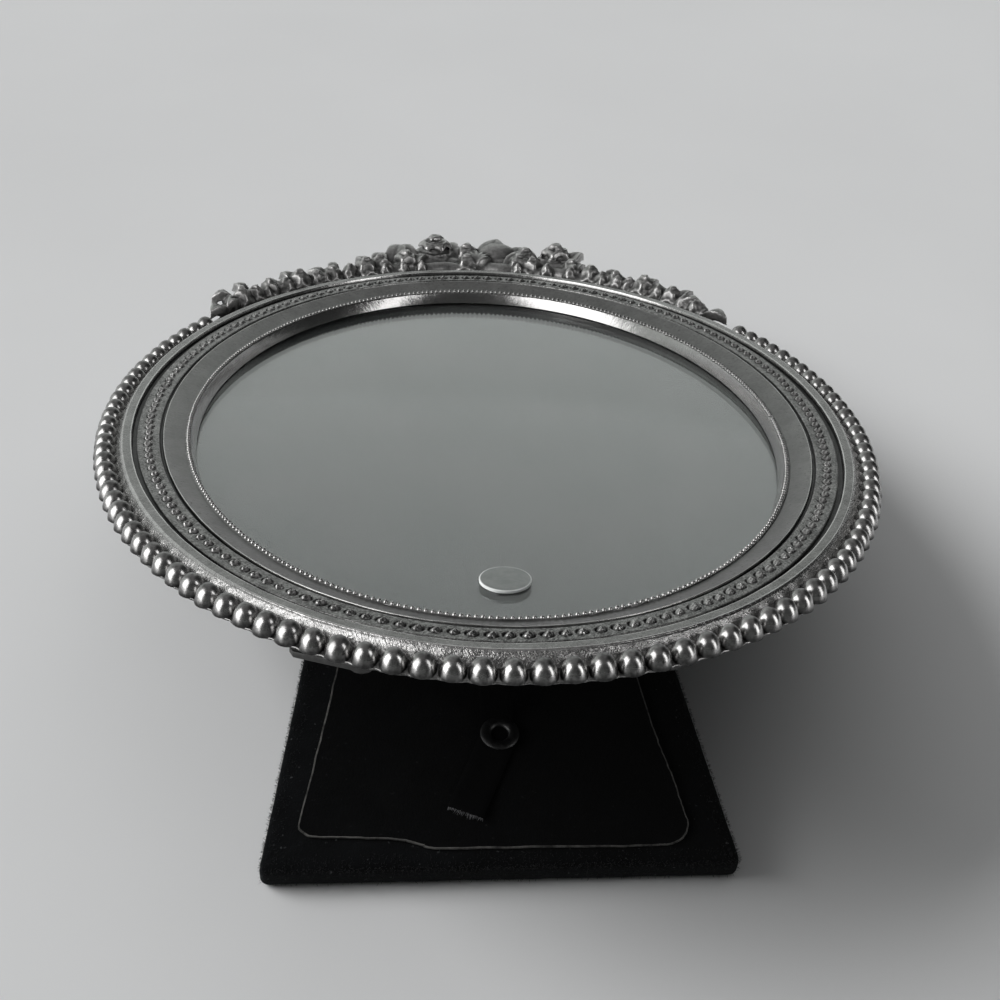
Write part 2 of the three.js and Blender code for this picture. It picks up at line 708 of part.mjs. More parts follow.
// Stay strap and its eyelets

const strapLegRear = liningTop + SEAT_GAP;
const strapLegTop = strapLegRear + STRAP_THICKNESS;
const strapBackFront = backRear - SEAT_GAP;
const strapBackRear = strapBackFront - STRAP_THICKNESS;

function onLeg(reach, height) {
  const place = new THREE.Vector3(0, -reach, height).applyAxisAngle(new THREE.Vector3(1, 0, 0), legAngle);
  return new THREE.Vector2(HINGE_Y + place.y, hingeZ + place.z);
}

// A ribbon whose middle follows points of [y, z], as wide as the strap
function ribbon(path) {
  const half = STRAP_THICKNESS / 2;
  const sides = path.map((place, i) => {
    const before = path[Math.max(0, i - 1)];
    const after = path[Math.min(path.length - 1, i + 1)];
    const into = place.clone().sub(before).normalize();
    const out = after.clone().sub(place).normalize();
    const along = into.add(out).normalize();
    return new THREE.Vector2(-along.y, along.x).multiplyScalar(half);
  });
  const near = path.map((place, i) => place.clone().add(sides[i]));
  const far = path.map((place, i) => place.clone().sub(sides[i]));
  const band = new THREE.ExtrudeGeometry(new THREE.Shape([...near, ...far.reverse()]), {
    depth: STRAP_WIDTH,
    bevelEnabled: false,
  });
  const toRow = new THREE.Matrix4().makeBasis(
    new THREE.Vector3(0, 1, 0),
    new THREE.Vector3(0, 0, 1),
    new THREE.Vector3(1, 0, 0),
  );
  return band.applyMatrix4(toRow).translate(-STRAP_WIDTH / 2, 0, 0);
}

function strapRibbon() {
  const grip = EYELET_DIAMETER / 2 + SEAT_GAP;
  const backMiddle = (strapBackFront + strapBackRear) / 2;
  const legMiddle = (strapLegRear + strapLegTop) / 2;
  const stretch = ribbon([
    new THREE.Vector2(STRAP_BACK_Y + STRAP_BACK_END, backMiddle),
    new THREE.Vector2(STRAP_BACK_Y - grip, backMiddle),
    new THREE.Vector2(STRAP_BACK_Y - grip - STRAP_BEND / 2, backMiddle - STRAP_BEND),
    onLeg(STRAP_LEG_REACH - grip - STRAP_BEND / 2, legMiddle + STRAP_BEND),
    onLeg(STRAP_LEG_REACH - grip, legMiddle),
    onLeg(STRAP_LEG_REACH + grip, legMiddle),
  ]);
  const half = STRAP_WIDTH / 2;
  const tail = new THREE.Shape([
    new THREE.Vector2(-half, 0),
    new THREE.Vector2(-half, -STRAP_TAIL_LENGTH),
    new THREE.Vector2(half, -STRAP_TAIL_LENGTH),
    new THREE.Vector2(half, 0),
  ]);
  leg.updateMatrix();
  const tailBand = plate(tail, strapLegRear, strapLegTop)
    .rotateZ(-THREE.MathUtils.degToRad(STRAP_TAIL_DEG))
    .translate(0, -STRAP_LEG_REACH, 0)
    .applyMatrix4(leg.matrix);
  const hole = EYELET_BARREL_DIAMETER + HOLE_CLEARANCE;
  const legHole = rod(hole, strapLegRear - SEAT_GAP, strapLegTop + SEAT_GAP)
    .translate(0, -STRAP_LEG_REACH, 0)
    .applyMatrix4(leg.matrix);
  const backHole = rod(hole, strapBackRear - SEAT_GAP, strapBackFront + SEAT_GAP)
    .translate(0, STRAP_BACK_Y, 0);
  return skin(cutFrom(joined([stretch, tailBand]), [legHole, backHole]));
}

// A flanged tube along z, the flanges just outside the two heights given
function eyelet(rear, front) {
  const bore = EYELET_BORE / 2;
  const barrel = EYELET_BARREL_DIAMETER / 2;
  const flange = EYELET_DIAMETER / 2;
  const low = rear - SEAT_GAP / 2;
  const high = front + SEAT_GAP / 2;
  return turned([
    [bore, low - EYELET_FLANGE],
    [flange, low - EYELET_FLANGE],
    [flange, low],
    [barrel, low],
    [barrel, high],
    [flange, high],
    [flange, high + EYELET_FLANGE / 2],
    [flange - EYELET_FLANGE, high + EYELET_FLANGE],
    [bore, high + EYELET_FLANGE],
    [bore, low - EYELET_FLANGE],
  ]);
}

// The back eyelet ends in the board, with its one flange over the strap
function backEyelet() {
  const bore = EYELET_BORE / 2;
  const barrel = EYELET_BARREL_DIAMETER / 2;
  const flange = EYELET_DIAMETER / 2;
  const low = strapBackRear - SEAT_GAP / 2;
  const high = boardRear + BACK_BOARD_THICKNESS;
  return turned([
    [bore, low - EYELET_FLANGE],
    [flange - EYELET_FLANGE, low - EYELET_FLANGE],
    [flange, low - EYELET_FLANGE / 2],
    [flange, low],
    [barrel, low],
    [barrel, high],
    [bore, high],
    [bore, low - EYELET_FLANGE],
  ]);
}

// Pieces

const pewter = material(0x77746f, 0.42, 1.0);
const darkPewter = material(0x6d6a66, 0.5, 1.0);
const blackMetal = material(0x16161a, 0.5, 0.7);
const zincPlate = material(0x8b8a86, 0.45, 1.0);
const velvet = material(0x08080b, 0.95, 0.0);

add(assembly, 'frame_casting', frameCasting(), pewter);
const crest = add(assembly, 'crest_casting', crestCasting(), darkPewter);
add(assembly, 'glass_pane', plate(ovalShape(sheetInset), glassRear, glassFront),
  material(0xdfe8e6, 0.05, 0.0));
add(assembly, 'glass_dot', glassDot(), material(0xb9bdbc, 0.3, 0.0));
add(assembly, 'photo_insert', plate(ovalShape(sheetInset), insertRear, insertRear + INSERT_THICKNESS),
  material(0x121314, 0.8, 0.0));
add(assembly, 'back_board', plate(backShape(), boardRear, boardRear + BACK_BOARD_THICKNESS),
  material(0x4a3b2c, 0.85, 0.0));
add(assembly, 'back_velvet', plate(backShape(), backRear, backRear + VELVET_THICKNESS), velvet);

for (const { name, angle, pivot, turn } of buttonPlaces) {
  const button = add(assembly, `turn_button_${name}`, turnButton(), zincPlate);
  button.position.copy(pivot);
  button.rotation.z = ovalNormalAngle(angle) + Math.PI + THREE.MathUtils.degToRad(turn);
  const screw = add(assembly, `turn_button_screw_${name}`, slottedScrew(), zincPlate);
  screw.position.copy(pivot);
  screw.rotation.z = angle;
}

const backLeaf = add(assembly, 'hinge_back_leaf', hingeBackLeaf(), blackMetal);
backLeaf.position.copy(leg.position);
const pin = add(assembly, 'hinge_pin', hingePin(), blackMetal);
pin.position.copy(leg.position);
add(leg, 'hinge_leg_leaf', hingeLegLeaf(), blackMetal);

for (const [name, side] of [['left', -1], ['right', 1]]) {
  const x = (side * RIVET_SPACING) / 2;
  const leafRear = backRear - SEAT_GAP - HINGE_LEAF_THICKNESS;
  const backRivet = add(assembly, `hinge_back_rivet_${name}`,
    rivet(-leafRear, -boardRear - BACK_BOARD_THICKNESS), blackMetal);
  backRivet.position.set(x, HINGE_Y + RIVET_REACH, 0);
  backRivet.rotation.x = Math.PI;
  const legRivet = add(leg, `hinge_leg_rivet_${name}`, rivet(HINGE_LEAF_THICKNESS, legBoardRear), blackMetal);
  legRivet.position.set(x, -RIVET_REACH, 0);
}

add(leg, 'leg_board', plate(legHoles(legShape(VELVET_THICKNESS + SEAT_GAP)), legBoardRear, legBoardTop),
  material(0x4a3b2c, 0.85, 0.0));
add(leg, 'leg_velvet', legVelvet(), velvet);
add(leg, 'leg_lining', legLining(), material(0x0a0a0d, 0.9, 0.0));

const legEyelet = add(leg, 'strap_leg_eyelet', eyelet(legOuter, strapLegTop), blackMetal);
legEyelet.position.y = -STRAP_LEG_REACH;
const rearEyelet = add(assembly, 'strap_back_eyelet', backEyelet(), blackMetal);
rearEyelet.position.y = STRAP_BACK_Y;
add(assembly, 'strap_ribbon', strapRibbon(), material(0x0c0c0f, 0.55, 0.0));

// The assembly tips until the end of the leg and the back of the crest are level, and stands on z = 0

const legFoot = onLeg(LEG_LENGTH, legOuter);
const crestPlaces = crest.geometry.attributes.position;
let slope = Infinity;
for (let i = 0; i < crestPlaces.count; i += 1) {
  slope = Math.min(slope, (crestPlaces.getZ(i) - legFoot.y) / (crestPlaces.getY(i) - legFoot.x));
}
assembly.rotation.x = -Math.atan(slope);

const part = new THREE.Group();
part.add(assembly);
part.updateMatrixWorld(true);
const bounds = new THREE.Box3().setFromObject(part, true);
const centre = bounds.getCenter(new THREE.Vector3());
assembly.position.set(-centre.x, -centre.y, -bounds.min.z);
part.updateMatrixWorld(true);

export default part;
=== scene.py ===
import json
import math

import bpy
import numpy as np
from mathutils import Matrix, Vector


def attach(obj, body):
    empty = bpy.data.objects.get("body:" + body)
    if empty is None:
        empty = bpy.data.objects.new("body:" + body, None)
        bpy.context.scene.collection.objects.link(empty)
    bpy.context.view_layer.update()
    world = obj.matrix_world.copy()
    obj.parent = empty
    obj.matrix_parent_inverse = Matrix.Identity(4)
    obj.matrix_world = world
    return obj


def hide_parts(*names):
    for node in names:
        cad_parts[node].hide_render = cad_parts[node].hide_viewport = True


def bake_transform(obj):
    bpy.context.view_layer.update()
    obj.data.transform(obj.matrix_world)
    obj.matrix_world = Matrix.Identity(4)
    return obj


# Looks of an oval cast picture frame lying face up on its open easel leg.
# Shapes are drawn in millimetres in two places: on the frame's face, where x runs across the oval,
# y up it to the crest and z out of the face, and on the leg, where y runs up from its end to the hinge.

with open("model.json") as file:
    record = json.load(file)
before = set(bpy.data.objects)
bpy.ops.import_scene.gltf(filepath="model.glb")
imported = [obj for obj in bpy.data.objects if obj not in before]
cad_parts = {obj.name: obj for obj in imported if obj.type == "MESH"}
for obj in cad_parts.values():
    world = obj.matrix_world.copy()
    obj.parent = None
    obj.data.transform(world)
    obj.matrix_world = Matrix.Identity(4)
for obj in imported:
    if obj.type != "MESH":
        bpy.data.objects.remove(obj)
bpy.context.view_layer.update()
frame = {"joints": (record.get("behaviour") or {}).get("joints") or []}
random = np.random.default_rng(11)

# Sizes shared with the solids
HALF_WIDTH, HALF_HEIGHT = 76.5, 101.5
BEADS, BEAD_INSET = 122, 0.4
BEADLESS_DEG = (34.5, 143.5)
HINGE_Y, HINGE_Z = 34.0, -9.05
LEG_OPEN = math.radians(22)
LEG_START, LEG_LENGTH = 4.0, 119.7
LEG_HINGE_WIDTH, LEG_END_WIDTH = 51.0, 85.5
GLASS_FRONT, GLASS_REAR = -2.6, -4.4
INSERT_FRONT, INSERT_REAR = -4.6, -5.0
BOARD_FRONT, BOARD_REAR = -5.2, -6.7
VELVET_FRONT, BACK_REAR = -6.9, -7.35
SHEET_INSET = 13.4
STRAP_LEG_REACH, STRAP_BACK_Y = 92.6, -30.0
STRAP_WIDTH = 6.35

joints = {joint["name"]: joint for joint in frame["joints"]}
face_axis = Vector(joints["button_upper_left_turn"]["axis"])
tilt = math.atan2(face_axis.y, face_axis.z)
TURN = Matrix.Rotation(-tilt, 4, "X")
AT_HINGE = Matrix.Translation(joints["leg_hinge"]["pos_m"]) @ TURN @ Matrix.Scale(0.001, 4)
FACE = AT_HINGE @ Matrix.Translation((0, -HINGE_Y, -HINGE_Z))
LEG = AT_HINGE @ Matrix.Rotation(LEG_OPEN, 4, "X")


# Places and lengths

def at(x, y, z=0.0):
    return Matrix.Translation((x, y, z))


def spin(degrees, axis="Z"):
    return Matrix.Rotation(math.radians(degrees), 4, axis)


def circle(steps):
    return np.arange(steps) / steps * 2 * np.pi


def unit(rows):
    return rows / np.linalg.norm(rows, axis=1)[:, None]


def run_along(points):
    """The length of a line up to each of its points."""
    return np.concatenate([[0], np.cumsum(np.linalg.norm(np.diff(points, axis=0), axis=1))])


def smoothstep(low, high, x):
    t = np.clip((x - low) / (high - low), 0, 1)
    return t * t * (3 - 2 * t)


def ripple(s, seed, waves, size):
    """A small smooth wander along s, from 0 to 1 round a closed line."""
    phase = np.random.default_rng(seed).uniform(0, 2 * np.pi, len(waves))
    return size * sum(np.sin(2 * np.pi * w * s + p) for w, p in zip(waves, phase)) / len(waves)


# Shapes as points and faces

def grid(rows, cols, wrap_rows=False, wrap_cols=False):
    r = np.arange(rows if wrap_rows else rows - 1)
    c = np.arange(cols if wrap_cols else cols - 1)
    r, c = np.meshgrid(r, c, indexing="ij")
    r2, c2 = (r + 1) % rows, (c + 1) % cols
    return np.stack([r * cols + c, r * cols + c2, r2 * cols + c2, r2 * cols + c], -1).reshape(-1, 4).tolist()


def merged(parts):
    points, faces, start = [], [], 0
    for p, f in parts:
        points.append(np.asarray(p, float))
        faces += [[i + start for i in face] for face in f]
        start += len(p)
    return np.concatenate(points), faces


def loft(rings):
    """A skin through rings of as many points each, closed by a fan at each end."""
    count = len(rings[0])
    last = (len(rings) - 1) * count
    hub = last + count
    faces = grid(len(rings), count, wrap_cols=True)
    faces += [(hub, (i + 1) % count, i) for i in range(count)]
    faces += [(hub + 1, last + i, last + (i + 1) % count) for i in range(count)]
    return np.concatenate([*rings, [np.mean(rings[0], axis=0), np.mean(rings[-1], axis=0)]]), faces


def turned(profile, sides, ring=False):
    """A profile of (radius, height) turned about z: from axis to axis, or closed on itself as a ring."""
    angle = circle(sides)
    rings = [np.stack([r * np.cos(angle), r * np.sin(angle), np.full(sides, z)], -1) for r, z in profile]
    return (np.concatenate(rings), grid(len(rings), sides, True, True)) if ring else loft(rings)


def bend(first, corner, last, count):
    """Points of a curve from first to last that is pulled towards a corner."""
    return [(1 - t) ** 2 * first + 2 * t * (1 - t) * corner + t * t * last for t in np.linspace(0, 1, count)]


def rounded(corners, arc=4, sides=1):
    """A closed line through corners (x, y, radius), each rounded by its radius, with points along its sides."""
    line, count, most = [], len(corners), 0.49
    for i, (x, y, radius) in enumerate(corners):
        here = np.array([x, y])
        before = np.array(corners[i - 1][:2]) - here
        after = np.array(corners[(i + 1) % count][:2]) - here
        a, b = np.linalg.norm(before), np.linalg.norm(after)
        cut = min(radius, most * a, most * b)
        last = here + after / b * cut
        line += bend(here + before / a * cut, here, last, arc)
        target = here + after - after / b * min(corners[(i + 1) % count][2], most * b)
        line += [last + (target - last) * k / sides for k in range(1, sides)]
    return np.array(line)


def slab(outline, rear, front, edge=0.15):
    """A plate with its edges eased, from an outline that runs anticlockwise."""
    along = unit(unit(np.roll(outline, -1, 0) - outline) + unit(outline - np.roll(outline, 1, 0)))
    inward = np.stack([-along[:, 1], along[:, 0]], -1)

    def level(inset, z):
        return np.column_stack([outline + inward * inset, np.full(len(outline), z)])

    soft, hold = edge * 0.3, edge * 1.8
    easing = [(hold, 0), (edge, 0), (soft, soft), (0, edge)]
    return loft([level(inset, rear + z) for inset, z in easing]
                + [level(inset, front - z) for inset, z in easing[::-1]])


def flat_plate(outline, rear, front):
    """A flat sheet between two heights with an outline of any shape."""
    count = len(outline)
    points = np.concatenate([np.column_stack([outline, np.full(count, z)]) for z in (rear, front)])
    faces = [(i, (i + 1) % count, (i + 1) % count + count, i + count) for i in range(count)]
    return points, faces + [tuple(range(count))[::-1], tuple(range(count, 2 * count))]


def block(low, high):
    corners = np.array([(x, y, z) for x in (low[0], high[0]) for y in (low[1], high[1]) for z in (low[2], high[2])])
    return corners, [(0, 1, 3, 2), (4, 6, 7, 5), (0, 4, 5, 1), (2, 3, 7, 6), (0, 2, 6, 4), (1, 5, 7, 3)]


def moved(part, matrix):
    points, faces = part
    m = np.array(matrix)
    return points @ m[:3, :3].T + m[:3, 3], faces


# Meshes and pieces

def mesh_of(name, part, place):
    """A mesh from points and faces, put in its place. A part that is a mesh already stays as it is."""
    if isinstance(part, bpy.types.Mesh):
        return part
    mesh = bpy.data.meshes.new(name)
    mesh.from_pydata(part[0].tolist(), [], part[1])
    mesh.transform(place)
    mesh.validate()
    return mesh


def linked(name, data):
    made = bpy.data.objects.new(name, data)
    bpy.context.scene.collection.objects.link(made)
    return made


def piece(name, part, place, material, body="frame", replaces=(), smooth=35):
    mesh = mesh_of(name, part, place)
    mesh.materials.append(material)
    mesh.polygons.foreach_set("use_smooth", np.ones(len(mesh.polygons), bool))
    mesh.set_sharp_from_angle(angle=math.radians(smooth))
    made = linked(name, mesh)
    if body:
        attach(made, body)
    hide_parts(*replaces)
    return made


def evaluated(target):
    """The mesh of an object with its modifiers applied. The object goes."""
    graph = bpy.context.evaluated_depsgraph_get()
    mesh = bpy.data.meshes.new_from_object(target.evaluated_get(graph))
    bpy.data.meshes.remove(target.data)
    return mesh


def carved(name, base, adds, cuts, place):
    """One solid from several by exact booleans, put in its place."""
    target = linked(name, mesh_of(name, base, Matrix()))
    helpers = []
    for operation, others in (("UNION", adds), ("DIFFERENCE", cuts)):
        for other in others:
            label = f"{name}_{len(helpers)}"
            helpers.append(linked(label, mesh_of(label, other, Matrix())))
            change = target.modifiers.new(operation.lower(), "BOOLEAN")
            change.operation, change.object, change.solver = operation, helpers[-1], "EXACT"
    mesh = evaluated(target)
    for helper in helpers:
        bpy.data.objects.remove(helper)
    mesh.name = name
    mesh.transform(place)
    return mesh


def set_values(mesh, name, values, kind="FLOAT"):
    layer = mesh.attributes.new(name, kind, "POINT")
    layer.data.foreach_set("value" if kind == "FLOAT" else "vector", np.asarray(values, np.float32).ravel())


def vertex_places(mesh):
    places = np.empty(len(mesh.vertices) * 3)
    mesh.vertices.foreach_get("co", places)
    return places.reshape(-1, 3)


# The oval

FINE = np.linspace(0, 2 * np.pi, 20001)


def oval(t, inset):
    """Points of the bead oval set in by inset, square to its edge."""
    c, s = np.cos(t), np.sin(t)
    nx, ny = c / HALF_WIDTH, s / HALF_HEIGHT
    size = np.hypot(nx, ny)
    return HALF_WIDTH * c - inset * nx / size, HALF_HEIGHT * s - inset * ny / size


def facing(t):
    return np.arctan2(np.sin(t) / HALF_HEIGHT, np.cos(t) / HALF_WIDTH)


def spaced(inset, count):
    """Angles of points evenly spaced along the oval set in by inset."""
    run = run_along(np.stack(oval(FINE, inset), -1))
    return np.interp(np.arange(count) / count * run[-1], run, FINE)


def oval_plate(rear, front, edge, steps=240):
    """A sheet that lies in the rebate."""
    return slab(np.stack(oval(circle(steps), SHEET_INSET), -1), rear, front, edge)


def swept_mesh(name, t, insets, heights):
    """A closed ring round the oval from rows of insets and heights at the angles t."""
    points = np.stack([*oval(t[None, :], insets), heights], -1).reshape(-1, 3)
    return mesh_of(name, (points, grid(*heights.shape, True, True)), FACE)


# Materials

def shader(name):
    made = bpy.data.materials.new(name)
    made.use_nodes = True
    return made, made.node_tree


def fill(tree, made, inputs):
    """Links or values into the inputs of a node."""
    for key, value in inputs.items():
        if isinstance(value, bpy.types.NodeSocket):
            tree.links.new(value, made.inputs[key])
        else:
            made.inputs[key].default_value = value


def surface(made, inputs):
    """A material with these inputs in its shader."""
    fill(made.node_tree, made.node_tree.nodes["Principled BSDF"], inputs)
    return made


def node(tree, kind, inputs, **settings):
    made = tree.nodes.new(kind)
    for key, value in settings.items():
        setattr(made, key, value)
    fill(tree, made, inputs)
    return made


def ramp(tree, value, stops):
    made = node(tree, "ShaderNodeValToRGB", {"Fac": value})
    elements = made.color_ramp.elements
    while len(elements) < len(stops):
        elements.new(0.5)
    for element, (place, colour) in zip(elements, stops):
        element.position = place
        element.color = (*colour, 1)
    return made.outputs["Color"]


def grey(value, warm=0.0):
    return (value * (1 + warm), value, value * (1 - warm))


def times(colour, share):
    return tuple(c * share for c in colour)


def coordinates(tree, output="Object"):
    return node(tree, "ShaderNodeTexCoord", {}).outputs[output]


def attribute(tree, name, output="Fac"):
    return node(tree, "ShaderNodeAttribute", {}, attribute_name=name).outputs[output]


def noise(tree, scale, detail=3.0, roughness=0.55, vector=None):
    return node(tree, "ShaderNodeTexNoise", {"Vector": coordinates(tree) if vector is None else vector,
                                             "Scale": scale, "Detail": detail, "Roughness": roughness}).outputs["Fac"]


def math_node(tree, operation, a, b, c=0.0):
    return node(tree, "ShaderNodeMath", {0: a, 1: b, 2: c}, operation=operation).outputs[0]


def spread(tree, value, low, high, to_low, to_high):
    return node(tree, "ShaderNodeMapRange", {"Value": value, "From Min": low, "From Max": high, "To Min": to_low,
                                             "To Max": to_high}).outputs["Result"]


def mix(tree, factor, a, b, blend="MIX"):
    return node(tree, "ShaderNodeMix", {"Factor": factor, "A": a, "B": b}, data_type="RGBA",
                blend_type=blend).outputs["Result"]


def bump(tree, height, distance, strength, normal=None):
    inputs = {"Height": height, "Distance": distance, "Strength": strength}
    if normal is not None:
        inputs["Normal"] = normal
    return node(tree, "ShaderNodeBump", inputs).outputs["Normal"]


def pewter(name, stops, rough, grain, striated=False):
    """Antiqued cast metal: an attribute runs from dark hollows at 0 to rubbed edges at 1; where it is set high so that
    edges show the room's reflection, its pale colour is painted highlight.
    """
    made, tree = shader(name)
    cloud = math_node(tree, "MULTIPLY_ADD", noise(tree, 210, 5, 0.62), 0.45, -0.225)
    speck = math_node(tree, "MULTIPLY_ADD", noise(tree, 1500, 3, 0.6), 0.55, -0.275)
    uneven = math_node(tree, "ADD", cloud, speck)
    normal = bump(tree, noise(tree, 620, 4, 0.6), 0.00012 * grain, 0.5)
    if striated:
        chased = attribute(tree, "chased")
        uneven = math_node(tree, "MULTIPLY", uneven, attribute(tree, "mottled"))
        lines = noise(tree, 1.0, 3, 0.65, attribute(tree, "swept", "Vector"))
        normal = bump(tree, math_node(tree, "MULTIPLY", lines, chased), 0.00022, 0.8, normal)
        hammered = math_node(tree, "MULTIPLY", noise(tree, 1900, 2, 0.6), chased)
        normal = bump(tree, hammered, 0.00018, 0.8, normal)
    normal = bump(tree, noise(tree, 3100, 2, 0.5), 0.00003 * grain, 0.6, normal)
    wear_and_highlight_level = math_node(tree, "ADD", uneven, attribute(tree, "wear_and_highlight"))
    roughness = math_node(tree, "MULTIPLY_ADD", wear_and_highlight_level, rough[1] - rough[0], rough[0])
    roughness = math_node(tree, "MULTIPLY_ADD", speck, 0.3, roughness)
    return surface(made, {"Base Color": ramp(tree, wear_and_highlight_level, stops), "Metallic": 1.0, "Roughness": roughness,
                          "Normal": normal})


def dull_metal(name, colour, rough, metallic=1.0, brushed=0.0):
    made, tree = shader(name)
    tint = ramp(tree, noise(tree, 420, 4, 0.6), [(0.3, times(colour, 0.72)), (0.7, times(colour, 1.18))])
    normal = bump(tree, noise(tree, 2400, 2), 0.00003, 0.5)
    if brushed:
        drawn = node(tree, "ShaderNodeMapping", {"Vector": coordinates(tree), "Scale": (300, 6000, 6000)}).outputs[0]
        normal = bump(tree, noise(tree, 1.0, 2, 0.5, drawn), 0.00002, brushed, normal)
    roughness = spread(tree, noise(tree, 1300, 3), 0.3, 0.7, rough - 0.07, rough + 0.09)
    return surface(made, {"Base Color": tint, "Metallic": metallic, "Roughness": roughness, "Normal": normal})


def velvet_cloth(name, colour, sheen, lint):
    """Short black pile: a matt ground, a sheen at grazing angles, and pale lint caught in it."""
    made, tree = shader(name)
    pile, lay, fleck = noise(tree, 2600, 3, 0.7), noise(tree, 130, 4, 0.6), noise(tree, 1150, 2, 0.5)
    ground = ramp(tree, math_node(tree, "MULTIPLY_ADD", lay, 0.6, math_node(tree, "MULTIPLY", pile, 0.4)),
                  [(0.35, times(colour, 0.5)), (0.7, times(colour, 1.9))])
    dusty = mix(tree, spread(tree, fleck, 0.69, 0.80, 0.0, lint), ground, (0.16, 0.165, 0.17, 1))
    normal = bump(tree, noise(tree, 520, 3, 0.6), 0.0003, 0.4, bump(tree, pile, 0.00025, 0.8))
    return surface(made, {"Base Color": dusty, "Roughness": 0.95, "Specular IOR Level": 0.12, "Sheen Weight": sheen,
                          "Sheen Roughness": 0.45, "Sheen Tint": (0.55, 0.62, 0.66, 1), "Normal": normal})


def glass_sheet():
    made, tree = shader("clear_glass")
    tint = ramp(tree, noise(tree, 45, 4, 0.6), [(0.3, (0.88, 0.93, 0.92)), (0.7, (0.94, 0.97, 0.965))])
    return surface(made, {"Base Color": tint, "Roughness": 0.02, "Transmission Weight": 1.0, "IOR": 1.46})


def soft_dot():
    """Soft clear plastic over the dark card, with a near white painted highlight along its edge that stands for light
    refracted through the clear plastic.
    """
    made, tree = shader("clear_soft_plastic")
    cloud = noise(tree, 500, 3)
    clear = ramp(tree, cloud, [(0.3, (0.112, 0.122, 0.118)), (0.7, (0.148, 0.158, 0.154))])
    return surface(made, {"Base Color": mix(tree, attribute(tree, "edge"), clear, (0.92, 0.94, 0.93, 1)),
                          "Roughness": spread(tree, cloud, 0.3, 0.7, 0.12, 0.22),
                          "Normal": bump(tree, noise(tree, 2200, 2), 0.00002, 0.4)})


def plain_fibre(name, dark, light, scale, rough):
    made, tree = shader(name)
    return surface(made, {"Base Color": ramp(tree, noise(tree, scale, 5, 0.65), [(0.32, dark), (0.68, light)]),
                          "Roughness": rough, "Normal": bump(tree, noise(tree, scale * 6, 3), 0.00008, 0.6)})


def woven_ribbon():
    """Black satin ribbon with its fine cross threads."""
    made, tree = shader("black_satin")
    lengths = attribute(tree, "woven", "Vector")
    weft, warp = (node(tree, "ShaderNodeTexWave", {"Vector": lengths, "Scale": scale, "Distortion": wander,
                                                   "Detail": 1.0}, bands_direction=way).outputs["Fac"]
                  for scale, wander, way in ((1.9, 0.6, "Y"), (1.2, 0.8, "X")))
    weave = math_node(tree, "MULTIPLY_ADD", weft, 0.7, math_node(tree, "MULTIPLY", warp, 0.3))
    tint = ramp(tree, weave, [(0.2, (0.001, 0.001, 0.0012)), (0.8, (0.003, 0.003, 0.0034))])
    return surface(made, {"Base Color": tint, "Roughness": 0.7, "Specular IOR Level": 0.07,
                          "Normal": bump(tree, weave, 0.00012, 0.7)})


PEWTER_STOPS = [(0.0, grey(0.018)), (0.28, grey(0.085, 0.01)), (0.55, grey(0.26, 0.012)), (0.95, grey(0.56, 0.012))]
CREST_STOPS = [(0.0, grey(0.05)), (0.30, grey(0.13, 0.01)), (0.60, grey(0.28, 0.012)), (1.0, grey(0.54, 0.012))]
MOULDING = pewter("antiqued_pewter", PEWTER_STOPS, (0.38, 0.15), 1.0, striated=True)
ORNAMENT = pewter("antiqued_ornament", PEWTER_STOPS, (0.42, 0.20), 0.6)
CREST = pewter("antiqued_crest", CREST_STOPS, (0.56, 0.36), 0.9)
PLATED = dull_metal("dull_zinc_plate", (0.075, 0.075, 0.074), 0.50, brushed=0.4)
BLACK_METAL = dull_metal("black_enamel", (0.003, 0.003, 0.0034), 0.42, 0.0)
VELVET = velvet_cloth("black_velvet_pile", (0.0022, 0.0025, 0.0029), 0.05, 0.5)
LINING = velvet_cloth("black_lining_pile", (0.0013, 0.0014, 0.0016), 0.015, 0.08)
PILE = plain_fibre("black_pile_fibres", (0.002, 0.002, 0.0025), (0.012, 0.0125, 0.014), 900, 0.9)
CUT_EDGE = plain_fibre("lining_cut_edge", (0.004, 0.004, 0.004), (0.16, 0.157, 0.148), 330, 0.9)
CARD = plain_fibre("black_card", (0.004, 0.0042, 0.0045), (0.007, 0.0072, 0.0075), 700, 0.85)
BOARD = plain_fibre("brown_hardboard", (0.12, 0.075, 0.04), (0.24, 0.165, 0.10), 900, 0.8)
GLASS = glass_sheet()
DOT = soft_dot()
RIBBON = woven_ribbon()
FRAY = plain_fibre("frayed_thread", (0.03, 0.03, 0.032), (0.30, 0.30, 0.31), 700, 0.6)
